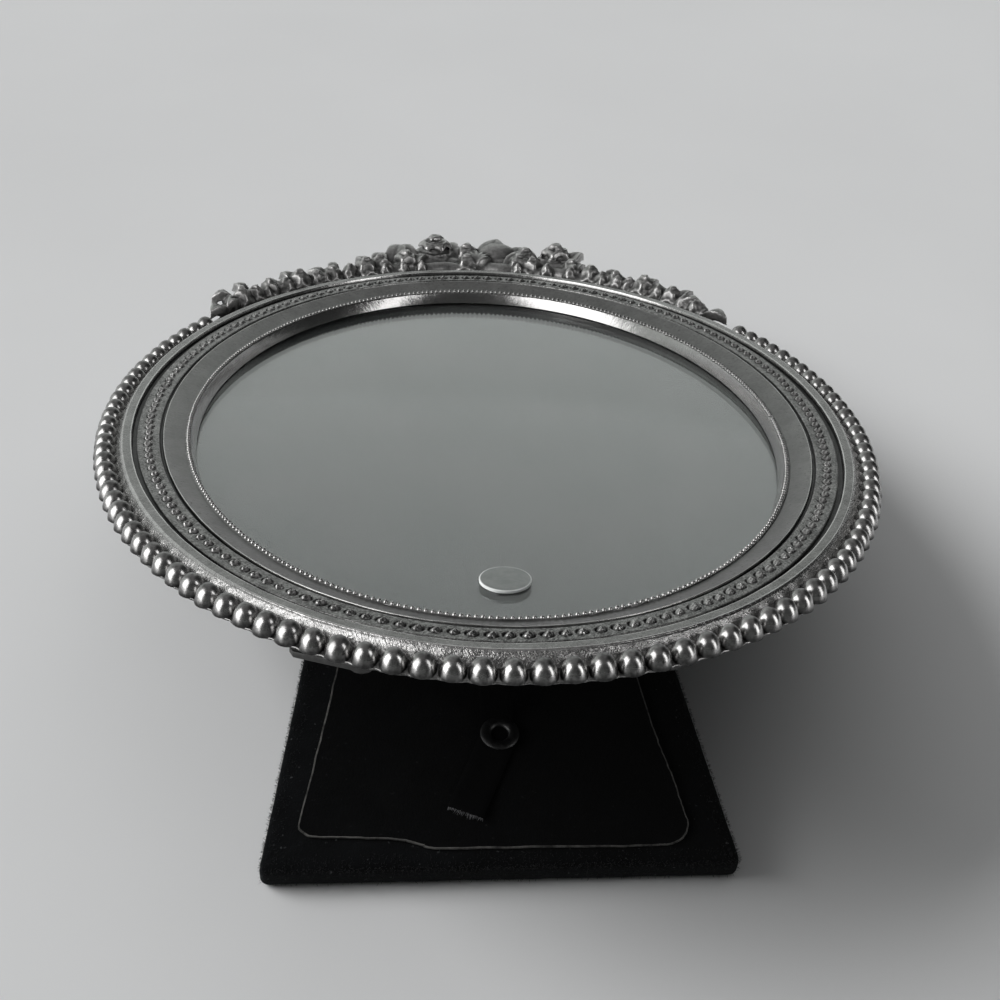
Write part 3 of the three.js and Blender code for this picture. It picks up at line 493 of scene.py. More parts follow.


# Frame casting: moulding, beads, pearls and the fine beaded lip

# Corners of the moulding from the ledge over the face to the back:
# inset, height, rounding, wear and painted highlight, chasing and mottling
SECTION = [
    # The light rows on the upper cove, the rim's two rounded edges, the pearl band's inner edge and the sight wall are
    # partly rubbed metal and partly painted highlight: they are set light so these edges show the windows' reflection
    # brightly, while the rim's flats between its edges stay darker.
    (-1.30, -1.40, 0.12, 0.30, 0.1, 1.0), (-1.30, -1.04, 0.14, 0.50, 0.1, 1.0), (1.40, -0.70, 0.50, 0.06, 1.0, 1.0),
    (2.25, 0.20, 0.90, 0.50, 1.0, 1.0), (3.02, 1.25, 0.70, 0.74, 1.0, 1.0), (3.60, 2.02, 0.26, 0.90, 0.4, 0.9),
    (3.95, 2.04, 0.02, 0.49, 0.1, 0.7), (5.20, 2.06, 0.02, 0.48, 0.1, 0.6), (5.50, 2.05, 0.22, 0.90, 0.1, 0.6),
    (5.70, 1.00, 0.12, 0.00, 0.0, 0.5), (6.30, 1.00, 0.12, 0.00, 0.0, 0.5),
    (10.95, 0.95, 0.08, 0.00, 0.0, 0.5), (11.05, 0.80, 0.06, 0.00, 0.0, 0.5), (11.42, 0.80, 0.06, 0.00, 0.0, 0.5),
    (11.56, 1.48, 0.14, 0.80, 0.0, 0.5), (11.80, 1.42, 0.04, 0.39, 0.0, 0.4), (15.62, 0.10, 0.22, 0.34, 0.0, 0.3),
    (15.90, 0.36, 0.20, 0.46, 0.2, 0.6), (16.80, 0.09, 0.25, 0.74, 0.1, 0.3), (17.85, -2.40, 0.08, 0.68, 0.0, 0.2),
    (13.00, -2.40, 0.05, 0.30, 0.0, 1.0),
    (13.00, -7.35, 0.10, 0.35, 0.0, 1.0), (8.80, -7.35, 0.25, 0.42, 0.1, 1.0), (8.80, -0.95, 0.30, 0.25, 0.1, 1.0),
    (4.50, -0.95, 0.30, 0.25, 0.1, 1.0), (3.30, -1.66, 0.25, 0.30, 0.1, 1.0),
]
SECTION_ARC, STEPS_PER_BEAD = 4, 6
LEDGE_ROWS = range(0, 2 * SECTION_ARC)
COVE_ROWS = range(2 * SECTION_ARC, 6 * SECTION_ARC)
COVE_CORNERS, FACE_CORNERS = 5, 19
# The ledge draws in between the beads, and the cove swells there and is rubbed
LEDGE_SCALLOP, COVE_SCALLOP, COVE_SWELL, COVE_RUB = 0.30, 0.40, 0.20, 0.22
# Unevenness of the cast face, across and up
ACROSS_WAVES, UP_WAVES = (7, 19, 43, 71), (5, 23, 37, 90)
ACROSS_WANDER, UP_WANDER, COVE_WANDER = 0.05, 0.04, 0.015


def moulding():
    steps = BEADS * STEPS_PER_BEAD
    t = spaced(BEAD_INSET, steps)
    share = np.arange(steps) / steps
    line = rounded([corner[:3] for corner in SECTION], SECTION_ARC)
    u, z = (np.repeat(line[:, k:k + 1], steps, 1) for k in (0, 1))
    wear_and_highlight, chased, mottled = (np.repeat(np.repeat([corner[k] for corner in SECTION], SECTION_ARC)[:, None], steps, 1)
                             for k in (3, 4, 5))
    phase = (np.arange(steps) % STEPS_PER_BEAD) / STEPS_PER_BEAD
    off_bead = np.abs((phase + 0.5) % 1 - 0.5) * 2
    between = 1 - np.sqrt(np.clip(1 - off_bead ** 2, 0, 1))
    for r in LEDGE_ROWS:
        u[r] += LEDGE_SCALLOP * between
    for r in COVE_ROWS:
        low_down = smoothstep(2.2, -0.8, line[r, 1])
        u[r] -= COVE_SCALLOP * between * low_down
        z[r] += COVE_SWELL * between * low_down
        wear_and_highlight[r] += COVE_RUB * between * smoothstep(2.0, 0.0, line[r, 1])
    for r in range(FACE_CORNERS * SECTION_ARC):
        corner = r // SECTION_ARC
        u[r] += ripple(share, corner, ACROSS_WAVES, ACROSS_WANDER)
        z[r] += ripple(share, corner + 50, UP_WAVES, COVE_WANDER if corner < COVE_CORNERS else UP_WANDER)
    mesh = swept_mesh("frame_moulding", t, u, z)
    girth = 2 * np.pi * np.hypot(HALF_WIDTH, HALF_HEIGHT) / math.sqrt(2)
    along, down = np.broadcast_arrays((share * girth)[None, :], run_along(line)[:, None])
    set_values(mesh, "swept", np.stack([along * 2.4 + down * 1.6, down * 0.55, along * 0], -1), "FLOAT_VECTOR")
    for name, values in (("wear_and_highlight", wear_and_highlight), ("chased", chased), ("mottled", mottled)):
        set_values(mesh, name, values)
    return mesh


def repeated(part, places):
    """Copies of a part at (x, y, z, turn, size), with the copies' points as one array."""
    points, faces = part
    copies = []
    for x, y, z, turn, size in places:
        c, s = math.cos(turn) * size, math.sin(turn) * size
        copies.append((np.column_stack([points[:, 0] * c - points[:, 1] * s + x,
                                        points[:, 0] * s + points[:, 1] * c + y,
                                        points[:, 2] * size + z]), faces))
    return merged(copies)


BEAD_PROFILE = [
    (2.14, -1.24), (2.27, -1.12), (2.25, -0.80), (2.19, -0.40), (2.11, 0.00), (2.01, 0.42), (1.86, 0.84), (1.63, 1.26),
    (1.31, 1.66), (0.93, 1.96), (0.51, 2.14), (0.10, 2.20),
]
GRAIN_PROFILE = [(0.46, -0.35), (0.52, -0.05), (0.46, 0.14), (0.32, 0.34), (0.14, 0.50), (0.04, 0.54)]
GRAIN_INSET, GRAINS = 16.35, 392
# Pearls cast in sockets along a flat band between two grooves
PEARL_INSET, PEARLS, PEARL_STEPS = 8.75, 175, 18
PEARL_RADIUS, SOCKET_RADIUS, PEARL_LEAN, PEARL_LENGTH = 0.80, 1.02, 0.40, 1.22
BAND_LEVEL, SOCKET_DEPTH, PEARL_RISE = 1.50, 0.48, 0.66
BAND_INSETS = np.concatenate([[6.52, 6.54, 6.62], np.linspace(6.85, 10.55, 23), [10.75, 10.86, 10.88]])
BAND_SIDE, BAND_BEVEL, BAND_FOOT = 0.45, 0.10, 0.7
SOCKET_SLOPE, PEARL_UNEVEN, BAND_UNEVEN = 0.22, 0.07, 0.025
BAND_WEAR, SOCKET_DARK, PEARL_RUB, WEAR_SPECKLE = 0.43, 0.40, 0.60, 0.13


def pearl_band():
    columns = PEARLS * PEARL_STEPS
    t = spaced(PEARL_INSET, columns)
    x, y = oval(t, PEARL_INSET)
    step = np.hypot(x[1] - x[0], y[1] - y[0])
    draw = np.random.default_rng(PEARLS)
    column = np.arange(columns)
    which = column // PEARL_STEPS
    shift = draw.normal(0, PEARL_UNEVEN, (PEARLS, 2))[which]
    size = (1 + draw.normal(0, PEARL_UNEVEN, PEARLS))[which]
    along = (column % PEARL_STEPS - (PEARL_STEPS - 1) / 2) * step + shift[:, 0]
    across = BAND_INSETS[:, None] - PEARL_INSET + shift[None, :, 1]
    away = np.hypot(along[None, :] / PEARL_LENGTH, across) / size[None, :]
    ends = np.cos(np.arctan2(across, along[None, :]) + PEARL_LEAN) ** 2
    moat = smoothstep(SOCKET_RADIUS, SOCKET_RADIUS - SOCKET_SLOPE, away) * (0.15 + 0.85 * ends)
    dome = np.sqrt(np.clip(1 - (away / PEARL_RADIUS) ** 2, 0, 1))
    z = BAND_LEVEL - SOCKET_DEPTH * moat + PEARL_RISE * dome
    z += draw.uniform(-BAND_UNEVEN, BAND_UNEVEN, z.shape) * (1 - moat)
    z[[0, -1]] -= BAND_SIDE
    z[[1, -2]] -= BAND_BEVEL
    wear_and_highlight = BAND_WEAR - SOCKET_DARK * moat + PEARL_RUB * smoothstep(0.20, 0.80, dome)
    wear_and_highlight += draw.normal(0, WEAR_SPECKLE, z.shape)
    rows = np.concatenate([BAND_INSETS, BAND_INSETS[[-1, 0]]])
    z = np.concatenate([z, np.full((2, columns), BAND_FOOT)])
    wear_and_highlight = np.concatenate([wear_and_highlight, np.full((2, columns), 0.1)])
    mesh = swept_mesh("pearl_band", t, rows[:, None], z)
    set_values(mesh, "wear_and_highlight", np.clip(wear_and_highlight, 0, 1))
    return mesh


def dotted(name, part, inset, count, height, vary, dark_at, bright_at, rubbed, dulled, left_out=(0, 0)):
    """A ring of cast beads, a little uneven, dark at the foot, rubbed above it and duller on the crown."""
    t = spaced(inset, count)
    t = t[(t < math.radians(left_out[0])) | (t > math.radians(left_out[1]))]
    x, y = oval(t, inset)
    draw = np.random.default_rng(count)
    places = [(x[i] + draw.normal(0, vary), y[i] + draw.normal(0, vary), height,
               facing(t[i]) + draw.uniform(-0.4, 0.4), 1 + draw.normal(0, vary * 0.5)) for i in range(len(t))]
    whole = repeated(part, places)
    mesh = mesh_of(name, whole, FACE)
    level = whole[0][:, 2]
    crown = smoothstep(0.6 * level.max(), level.max(), level)
    set_values(mesh, "wear_and_highlight", 0.08 + rubbed * smoothstep(dark_at, bright_at, level) - dulled * crown)
    return mesh


piece("frame_moulding", moulding(), None, MOULDING, replaces=["frame_casting"], smooth=60)
beads = dotted("bead_border", turned(BEAD_PROFILE, 28), BEAD_INSET, BEADS, 0.0, 0.025, -1.3, 0.5, 0.66, 0.30,
               BEADLESS_DEG)
grains = dotted("sight_beading", turned(GRAIN_PROFILE, 7), GRAIN_INSET, GRAINS, 0.16, 0.03, 0.05, 0.5, 0.90, 0.0)
for mesh in (beads, pearl_band(), grains):
    piece(mesh.name, mesh, None, ORNAMENT, replaces=["frame_casting"], smooth=70)


# Glass, dot, insert and back

def rebate_sheet(name, rear, front, edge, material, node_name):
    return piece(name, oval_plate(rear, front, edge), FACE, material, replaces=[node_name])


rebate_sheet("glass_sheet", GLASS_REAR, GLASS_FRONT, 0.12, GLASS, "glass_pane")
DOT_PROFILE = [(4.5, 0.0), (4.5, 0.40), (4.46, 0.47), (4.38, 0.51), (4.20, 0.53), (3.6, 0.54), (2.6, 0.55), (1.3, 0.55)]
DOT_X, DOT_Y, DOT_GAP, DOT_CLEAR = -0.9, -67.2, 0.02, 4.30
dot = turned(DOT_PROFILE, 64)
dot_mesh = mesh_of("bumper_dot", dot, FACE @ at(DOT_X, DOT_Y, GLASS_FRONT + DOT_GAP))
# The pale ring at the dot's edge is painted highlight, standing for light refracted through the clear dome.
set_values(dot_mesh, "edge", smoothstep(DOT_CLEAR, DOT_PROFILE[2][0], np.hypot(dot[0][:, 0], dot[0][:, 1])))
piece("bumper_dot", dot_mesh, None, DOT, replaces=["glass_dot"])
rebate_sheet("insert_card", INSERT_REAR, INSERT_FRONT, 0.05, CARD, "photo_insert")
rebate_sheet("back_panel", BOARD_REAR, BOARD_FRONT, 0.1, BOARD, "back_board")
back_cloth = rebate_sheet("back_cloth", BACK_REAR, VELVET_FRONT, 0.2, VELVET, "back_velvet")


# Turn buttons and their screws

BUTTON_HALF, BUTTON_TIP, BUTTON_CHAMFER = 2.8, 12.2, 1.2
BUTTON_REAR, BUTTON_FRONT = -8.75, -7.55
SLOT_HALF, SLOT_FLOOR = 0.32, -9.45
BUTTON_INSET = 11.1
SCREW_PROFILE = [
    (1.0, -9.95), (1.55, -9.84), (1.9, -9.62), (2.08, -9.35), (2.1, -9.0), (2.05, -8.95), (0.9, -8.95), (0.9, -3.35),
]
# Each button's place round the oval, how far it is swung from pointing inward, and its screw slot's turn
BUTTONS = {
    "lower_left": (246.4, 96, 35), "lower_right": (293.6, 0, 120),
    "upper_left": (113.6, 0, 70), "upper_right": (66.4, 0, 155),
}


def button_outline():
    half, tip, flat = BUTTON_HALF, BUTTON_TIP, BUTTON_TIP - BUTTON_CHAMFER
    round_end = [(half * math.cos(a), half * math.sin(a)) for a in np.linspace(np.pi / 2, 1.5 * np.pi, 20)]
    side = half - BUTTON_CHAMFER
    return np.array(round_end + [(flat, -half), (tip, -side), (tip, side), (flat, half)])


for place, (around, swung, slot_turn) in BUTTONS.items():
    t = math.radians(around)
    pivot = FACE @ at(*oval(t, BUTTON_INSET))
    turn = float(facing(t)) + math.pi + math.radians(swung)
    piece(f"turn_button_plate_{place}", slab(button_outline(), BUTTON_REAR, BUTTON_FRONT, 0.18),
          pivot @ Matrix.Rotation(turn, 4, "Z"), PLATED, body=f"button_{place}",
          replaces=[f"turn_button_{place}"])
    screw = carved(f"turn_button_slotted_screw_{place}", turned(SCREW_PROFILE, 32), [],
                   [block((-3, -SLOT_HALF, -11), (3, SLOT_HALF, SLOT_FLOOR))], pivot @ spin(slot_turn))
    piece(screw.name, screw, None, PLATED, replaces=[f"turn_button_screw_{place}"], smooth=30)


# Crest: flowers, leaves and a shell cast on a plate, joined to one skin

CREST_TOP, CREST_REAR, CREST_LAP = -1.9, -3.5, 1.6
CREST_LIFT = 0.5
# Outline of the plate: places round the oval, and its reach from the bead line
CREST_DEG = [36, 42, 54, 65, 70, 75, 79.5, 84, 89, 93.5, 98.5, 103, 122, 136, 142]
CREST_REACH = [3.2, 4.6, 5.4, 6.5, 12.0, 16.5, 14.5, 17.0, 15.0, 17.5, 12.0, 6.5, 5.6, 4.6, 3.2]
PLATE_SHARE = 0.97
# Grid of the skin in metres, and wear: on the plate, more on the tops, and from how far a point stands out
CREST_VOXEL = 0.00030
CREST_WEAR, CREST_RUB, RELIEF_PASSES, RELIEF_GAIN = 0.36, 0.24, 14, 2000.0

# Flowers: place round the oval, reach from the bead line, base height, radius, rise and petals
ROSES = [
    (94, 11.6, -1.4, 6.4, 7.9, 7), (73.6, 11.8, -1.4, 5.6, 7.2, 6), (76.6, 4.6, -1.6, 3.6, 5.4, 5),
    (133.6, 3.2, -1.6, 3.2, 5.6, 5), (127.6, 3.2, -1.6, 3, 5.4, 5), (121.2, 3.4, -1.6, 3.7, 5.8, 6),
    (114.6, 3.4, -1.6, 3.5, 5, 6), (107.8, 4, -1.6, 4, 5.9, 6), (65.6, 4.4, -1.6, 3.6, 5.4, 6),
    (60.4, 3.4, -1.6, 3.2, 5.6, 5), (54.8, 3.4, -1.6, 3.8, 6.1, 6), (49.2, 3.4, -1.6, 3.4, 5.2, 6),
    (43.6, 3.2, -1.7, 2.7, 3.8, 5), (136.4, 3, -1.6, 2.6, 4.2, 5), (130.6, 3, -1.6, 2.8, 4.7, 5),
    (124.4, 3, -1.6, 2.8, 4.6, 5), (117.9, 3, -1.6, 2.9, 4.7, 5), (111.2, 3.2, -1.6, 3, 4.9, 5),
    (104.2, 3.6, -1.6, 3.1, 4.8, 5), (68.8, 3.8, -1.6, 3.1, 4.9, 5), (63, 3.2, -1.6, 2.9, 4.7, 5),
    (57.6, 3.2, -1.6, 2.9, 4.8, 5), (52, 3.2, -1.6, 2.9, 4.8, 5), (46.4, 3, -1.6, 2.7, 4.2, 5),
    (99.8, 6.2, -1.4, 4.5, 5.8, 6), (88.6, 4.4, -1.4, 3.8, 5, 6), (79.2, 5.4, -1.4, 4, 5.4, 6),
    (104.6, 6, -1.4, 3.6, 5.4, 5), (69.6, 6.2, -1.4, 3.8, 5.4, 5), (88.6, 10.4, -1.4, 4.4, 6.2, 6),
    (78.6, 9.8, -1.4, 4.2, 6, 6),
]
# Rings of petals in a flower: how many fewer than its outermost has, size, height as a share of its rise, and pitch
PETAL_RINGS = ((0, 1.0, 0.16, 6), (1, 0.72, 0.44, 22))
# The innermost ring, with its number of petals
HEART_PETALS = (3, 0.46, 0.66, 48)
# Mounds that the flowers stand on: first and last place, reach, height and radius
MOUNDS = [
    (102.0, 138.4, 2.8, -0.9, 1.7), (102.0, 136.8, 4.2, -1.2, 1.6), (70.0, 41.8, 2.8, -0.9, 1.7),
    (70.0, 43.2, 4.2, -1.2, 1.6), (104.0, 68.0, 3.6, -0.9, 2.2), (101.0, 71.0, 7.2, -1.0, 2.6),
    (98.0, 73.4, 11.0, -1.2, 2.8),
]
# Leaves: place, reach, root height, heading from straight outward, length, width, arch and lift
LEAVES = [
    (138.2, 2.4, -0.3, 97, 6.6, 3.4, 1.6, 9), (134.6, 3.8, 0.3, 62, 6.4, 2.6, 2.5, 6),
    (135.2, 2.1, 0.1, 100, 5.6, 2.4, 1.9, 6), (131.4, 4.2, 0.5, 12, 5, 2.6, 1.5, 18),
    (129.8, 2.2, 0.1, 75, 5, 2.4, 1.7, 9), (124.6, 2.8, 0.1, 66, 6.4, 2.9, 1.8, 9),
    (122.4, 2.8, 0.3, 14, 5.4, 2.8, 1.7, 19.5), (121.6, 2.2, 0.1, -60, 5, 2.4, 1.7, 7.5),
    (115.4, 2.8, 0.1, 48, 6, 3, 1.9, 10.5), (114, 2.6, 0.3, -6, 5.6, 2.8, 1.9, 16.5),
    (112.4, 2.4, 0.1, -62, 5.2, 2.6, 1.7, 9), (106.8, 3.6, 0.3, 22, 6.4, 3, 1.7, 18),
    (105.4, 3.6, 0.1, -22, 9.5, 4.4, 2.2, 7.5), (102.2, 5.6, 0.2, -26, 12, 5.2, 2.7, 7.5),
    (98.2, 7.6, 0.4, 4, 8.4, 3, 2, 15), (99.2, 4.2, 0.2, -58, 6.5, 2.8, 2, 7.5),
    (91.2, 8.6, 0.4, -4, 8.6, 3.6, 2, 13.5), (90.2, 7.4, 0.2, 20, 6.4, 3, 2, 10.5),
    (79.8, 8, 0.2, 6, 8, 3.6, 2.2, 12), (78.2, 4.6, 0.2, 40, 6.4, 2.8, 2, 7.5),
    (71.2, 8, 0.2, -16, 9, 3.6, 2.2, 12), (71.8, 4.6, 0.2, -58, 6.6, 3, 2, 7.5),
    (69.2, 2.8, 0.1, -24, 6.4, 2.8, 1.9, 12), (62.2, 2.6, 0.1, -10, 5.8, 2.8, 1.9, 15),
    (61.6, 2.4, 0.1, -66, 5.4, 2.6, 1.7, 9), (60.4, 2.8, 0.1, 56, 5.2, 2.6, 1.7, 9),
    (54.4, 2.8, 0.1, -8, 5.6, 2.8, 1.9, 16.5), (53.6, 2.4, 0.1, -68, 5.6, 2.6, 1.7, 9),
    (47.6, 2.6, 0.1, -14, 5.2, 2.6, 1.7, 16.5), (47, 2.4, 0.1, -76, 6, 2.6, 1.8, 9),
    (41.8, 2.4, -0.3, -86, 7.4, 3.4, 1.5, 3),
]
# Buds, as small flowers: place, reach, height and radius
BUDS = [
    (111.8, 2.0, 1.4, 1.4), (128.8, 1.9, 1.1, 1.2), (116.4, 1.9, 1.3, 1.2), (104.6, 2.0, 1.5, 1.3),
    (101.0, 2.0, 1.6, 1.3), (97.4, 2.1, 1.6, 1.3), (73.4, 2.1, 1.7, 1.6), (79.0, 2.0, 1.5, 1.2),
    (69.0, 2.1, 1.6, 1.4), (62.6, 1.9, 1.3, 1.2), (59.6, 2.2, 1.7, 1.6), (54.8, 1.9, 1.3, 1.2),
    (51.6, 2.5, 1.8, 1.5), (46.6, 1.8, 1.0, 1.2), (43.8, 1.8, 1.1, 1.3), (124.0, 1.9, 1.3, 1.2),
]
BUD_SINK, BUD_PETALS = 1.9, 5
# Shell: its place, and the heading and length of each rib
SHELL, SHELL_TILT, RIB_HALF_WIDTH, RIB_HEIGHT = (87.0, 2.0, -0.4), 12, 0.95, 2.4
SHELL_RIBS = [(-48, 6.0), (-32, 7.4), (-16, 8.4), (0, 8.8), (16, 8.4), (32, 7.4), (48, 6.0)]
# A smooth boss with a leaf folded over it, and two ribbed leaves beside it
BOSS, BOSS_SIZE = (83.6, 11.4, -1.2), (5.6, 6.6, 5.8, 1)
FOLD, FOLD_HEADING, FOLD_TILT = (85.0, 7.6, 1.6), -14, 14
RIBBED, RIBBED_TILT, RIBBED_LEAVES = (81.6, 2.2, 0.0), 14, ((-38, 3.6), (-24, 3.2))
# Tendrils at the two ends: place, reach and radius of the curl
TENDRILS = ((43.6, 4.0, 1.6), (136.6, 4.6, 1.7))


def spot(deg, reach, height):
    """A place on the crest, with x outward from the oval and y along it."""
    t = math.radians(deg)
    return at(*oval(t, -reach), height + CREST_LIFT) @ Matrix.Rotation(float(facing(t)), 4, "Z")


def ball(sides=14, rings=9, scale=(1, 1, 1, 1), place=Matrix()):
    angles = np.linspace(-0.49 * np.pi, 0.49 * np.pi, rings)
    return moved(turned([(math.cos(a), math.sin(a)) for a in angles], sides), place @ Matrix.Diagonal(scale))


def petal(length, width, arch, cup, thick, point, vein=0.0, ribs=0):
    """A leaf or petal along x from its root, arched along its length and cupped at its sides."""
    across, along = 13, 16
    v, u = np.meshgrid(np.linspace(0, 1, along), np.linspace(-1, 1, across), indexing="ij")
    if point:
        shape = np.sin(np.pi * np.clip(v, 0.05, 0.98) ** 0.72) ** 0.9
        x = length * v
    else:
        shape = np.sin(np.pi * (0.14 + 0.72 * v))
        x = length * v * (1 - 0.16 * u ** 2)
    z = arch * np.sin(np.pi * 0.86 * v) + shape * (cup * u ** 2 - vein * np.exp(-(u / 0.14) ** 2))
    z += 0.16 * shape * np.cos(np.pi * ribs * u) if ribs else 0
    top = np.stack([x, width / 2 * shape * u, z], -1).reshape(-1, 3)
    rim = list(range(across)) + [r * across + across - 1 for r in range(1, along)]
    rim += list(range(along * across - 2, (along - 1) * across - 1, -1))
    rim += [r * across for r in range(along - 2, 0, -1)]
    sheet = grid(along, across)
    count = len(top)
    faces = [f[::-1] for f in sheet] + [[i + count for i in f] for f in sheet]
    faces += [(rim[i], rim[i - 1], rim[i - 1] + count, rim[i] + count) for i in range(len(rim))]
    return np.concatenate([top, top - [0, 0, thick]]), faces


def rose(radius, rise, count, place):
    """A full flower: rings of cupped petals about a heart, on a core."""
    core = ball(18, 9, (radius * 0.80, radius * 0.80, rise * 0.78, 1))
    heart = ball(12, 9, (radius * 0.24, radius * 0.24, rise * 0.16, 1), at(0, 0, rise * 0.84))
    parts = [core]
    rings = [(count - fewer, *ring) for fewer, *ring in PETAL_RINGS] + [HEART_PETALS]
    for number, (petals, size, lift, pitch) in enumerate(rings):
        shape = petal(radius * size * 0.98, radius * size * 1.16, rise * 0.24, rise * 0.08, 1.3, False, 0.22)
        shape = moved(shape, at(radius * 0.06, 0, rise * lift) @ spin(-pitch, "Y"))
        parts += [moved(shape, spin(360 * (i + 0.37 * number) / petals)) for i in range(petals)]
    return [moved(part, place) for part in parts + [heart]]


def strand(places, radius, sides=8):
    """A round stem through places."""
    places = np.array(places)
    along = unit(np.gradient(places, axis=0))
    side = unit(np.cross(along, [0, 0, 1.0]))
    up = np.cross(side, along)
    angle = circle(sides)
    return loft([p + radius * (np.cos(angle)[:, None] * s + np.sin(angle)[:, None] * n)
                 for p, s, n in zip(places, side, up)])


def crest_parts():
    degs = np.linspace(CREST_DEG[0], CREST_DEG[-1], 160)
    outer = [oval(math.radians(d), -np.interp(d, CREST_DEG, CREST_REACH) * PLATE_SHARE) for d in degs]
    inner = [oval(math.radians(d), CREST_LAP) for d in degs[::-1]]
    parts = [flat_plate(np.array(outer + inner), CREST_REAR, CREST_TOP)]
    for deg, reach, base, radius, rise, count in ROSES:
        parts += rose(radius, rise, count, spot(deg, reach, base) @ spin(deg * 7))
    for deg, reach, base, heading, length, width, arch, lift in LEAVES:
        place = spot(deg, reach, base) @ spin(heading) @ spin(-lift, "Y")
        parts.append(moved(petal(length, width, arch, 0.35, 2.4, True, 0.35), place))
    for deg, reach, height, radius in BUDS:
        place = spot(deg, reach, height - BUD_SINK) @ spin(deg * 11)
        parts += rose(radius * 1.25, radius * 1.2 + 1.5, BUD_PETALS, place)
    for heading, length in SHELL_RIBS:
        place = spot(*SHELL) @ spin(heading) @ spin(-SHELL_TILT, "Y") @ at(length / 2, 0, 0.5)
        parts.append(ball(scale=(length / 2, RIB_HALF_WIDTH, RIB_HEIGHT, 1), place=place))
    parts.append(ball(32, 15, BOSS_SIZE, spot(*BOSS)))
    fold = spot(*FOLD) @ spin(FOLD_HEADING) @ spin(-FOLD_TILT, "Y")
    parts.append(moved(petal(9.6, 7.6, 1.6, -0.7, 2.2, True, 0.5), fold))
    for heading, width in RIBBED_LEAVES:
        place = spot(*RIBBED) @ spin(heading) @ spin(-RIBBED_TILT, "Y")
        parts.append(moved(petal(10.0, width, 1.8, 0.4, 1.6, True, 0.2, 4), place))
    for start, end, reach, height, radius in MOUNDS:
        line = [(*oval(math.radians(d), -reach - 0.3 * math.sin(d * 0.9)),
                 CREST_LIFT + height + 0.3 * math.sin(d * 0.55)) for d in np.linspace(start, end, 60)]
        parts.append(strand(line, radius, 14))
    for deg, reach, radius in TENDRILS:
        curl = [spot(deg, reach, -0.6) @ Vector((radius * math.cos(a), radius * math.sin(a), 0.4 * math.sin(a * 0.5)))
                for a in np.linspace(0.3, 5.6, 20)]
        parts.append(strand(curl, 0.6))
    return parts


def relief(mesh, passes, gain):
    """Wear from shape: how far each point stands out of its smoothed surroundings, in metres times gain."""
    points = vertex_places(mesh)
    count = len(points)
    normals = np.empty(count * 3, np.float32)
    mesh.vertex_normals.foreach_get("vector", normals)
    edges = np.empty(len(mesh.edges) * 2, np.int32)
    mesh.edges.foreach_get("vertices", edges)
    a, b = edges.reshape(-1, 2).T
    near = np.bincount(a, minlength=count) + np.bincount(b, minlength=count)
    smooth = points.copy()
    for _ in range(passes):
        total = np.stack([np.bincount(a, smooth[b, axis], count) + np.bincount(b, smooth[a, axis], count)
                          for axis in range(3)], -1)
        smooth = 0.4 * smooth + 0.6 * total / np.maximum(near, 1)[:, None]
    return np.einsum("ij,ij->i", points - smooth, normals.reshape(-1, 3)) * gain


def crest():
    points, faces = merged(crest_parts())
    points[:, 2] = np.maximum(points[:, 2], CREST_REAR)
    raw = linked("crest", mesh_of("crest", (points, faces), FACE))
    skin = raw.modifiers.new("skin", "REMESH")
    skin.mode, skin.voxel_size, skin.adaptivity = "VOXEL", CREST_VOXEL, 0.0
    soften = raw.modifiers.new("soften", "SMOOTH")
    soften.factor, soften.iterations = 0.5, 2
    mesh = evaluated(raw)
    mesh.name = "crest_ornament"
    height = moved((vertex_places(mesh), None), FACE.inverted())[0][:, 2]
    shape = np.clip(relief(mesh, RELIEF_PASSES, RELIEF_GAIN), -0.36, 0.42)
    set_values(mesh, "wear_and_highlight", np.clip(CREST_WEAR + CREST_RUB * smoothstep(-2.1, 4.5, height) + shape, 0, 1))
    return mesh


piece("crest_ornament", crest(), None, CREST, replaces=["crest_casting"], smooth=80)


# Hinge between the back and the leg

PIN_PLACE = FACE @ at(0, HINGE_Y, HINGE_Z)
ACROSS = spin(90, "Y")
KNUCKLE, LEAF_THICK, LEAF_REACH, HINGE_HALF, CENTRE_KNUCKLE = 1.5, 0.7, 12.0, 20.0, 11.5
NOTCH, NOTCH_DEPTH, CLEAR = CENTRE_KNUCKLE + 0.3, 1.8, 3
PIN_BORE, LEAF_CORNER, PIN_END = 0.88, 0.8, HINGE_HALF + 0.2
RIVET_X, RIVET_REACH = 13.0, 7.5
BACK_SHANK_END, LEG_SHANK_END = -3.6, -5.4


def knuckle(start, end):
    ease = 0.12
    profile = [(KNUCKLE - ease, start), (KNUCKLE, start + ease), (KNUCKLE, end - ease), (KNUCKLE - ease, end)]
    return moved(turned(profile + [(PIN_BORE, end), (PIN_BORE, start)], 40, ring=True), ACROSS)


def leaf(y0, y1, rear, front):
    corners = [(-HINGE_HALF, y0), (HINGE_HALF, y0), (HINGE_HALF, y1), (-HINGE_HALF, y1)]
    return slab(rounded([(x, y, LEAF_CORNER) for x, y in corners], 5), rear, front, 0.1)


def rivet(leaf_top, shank_end):
    under = leaf_top + 0.1
    head = [(1.9, 0), (2.0, 0.1), (1.9, 0.25), (1.55, 0.41), (1.0, 0.49), (0.4, 0.5)]
    shank = [(0.9, shank_end), (1.0, shank_end + 0.1), (1.0, under)]
    return turned(shank + [(r, under + z) for r, z in head], 28)


def hinge_leaf(name, plate, cuts, knuckles, place, body, node_name):
    """A leaf cut clear of the other leaf's knuckles, with its own joined on."""
    cut = carved(name, plate, [], cuts, Matrix())
    piece(name, carved(name, cut, knuckles, [], place), None, BLACK_METAL, body=body,
          replaces=[node_name])


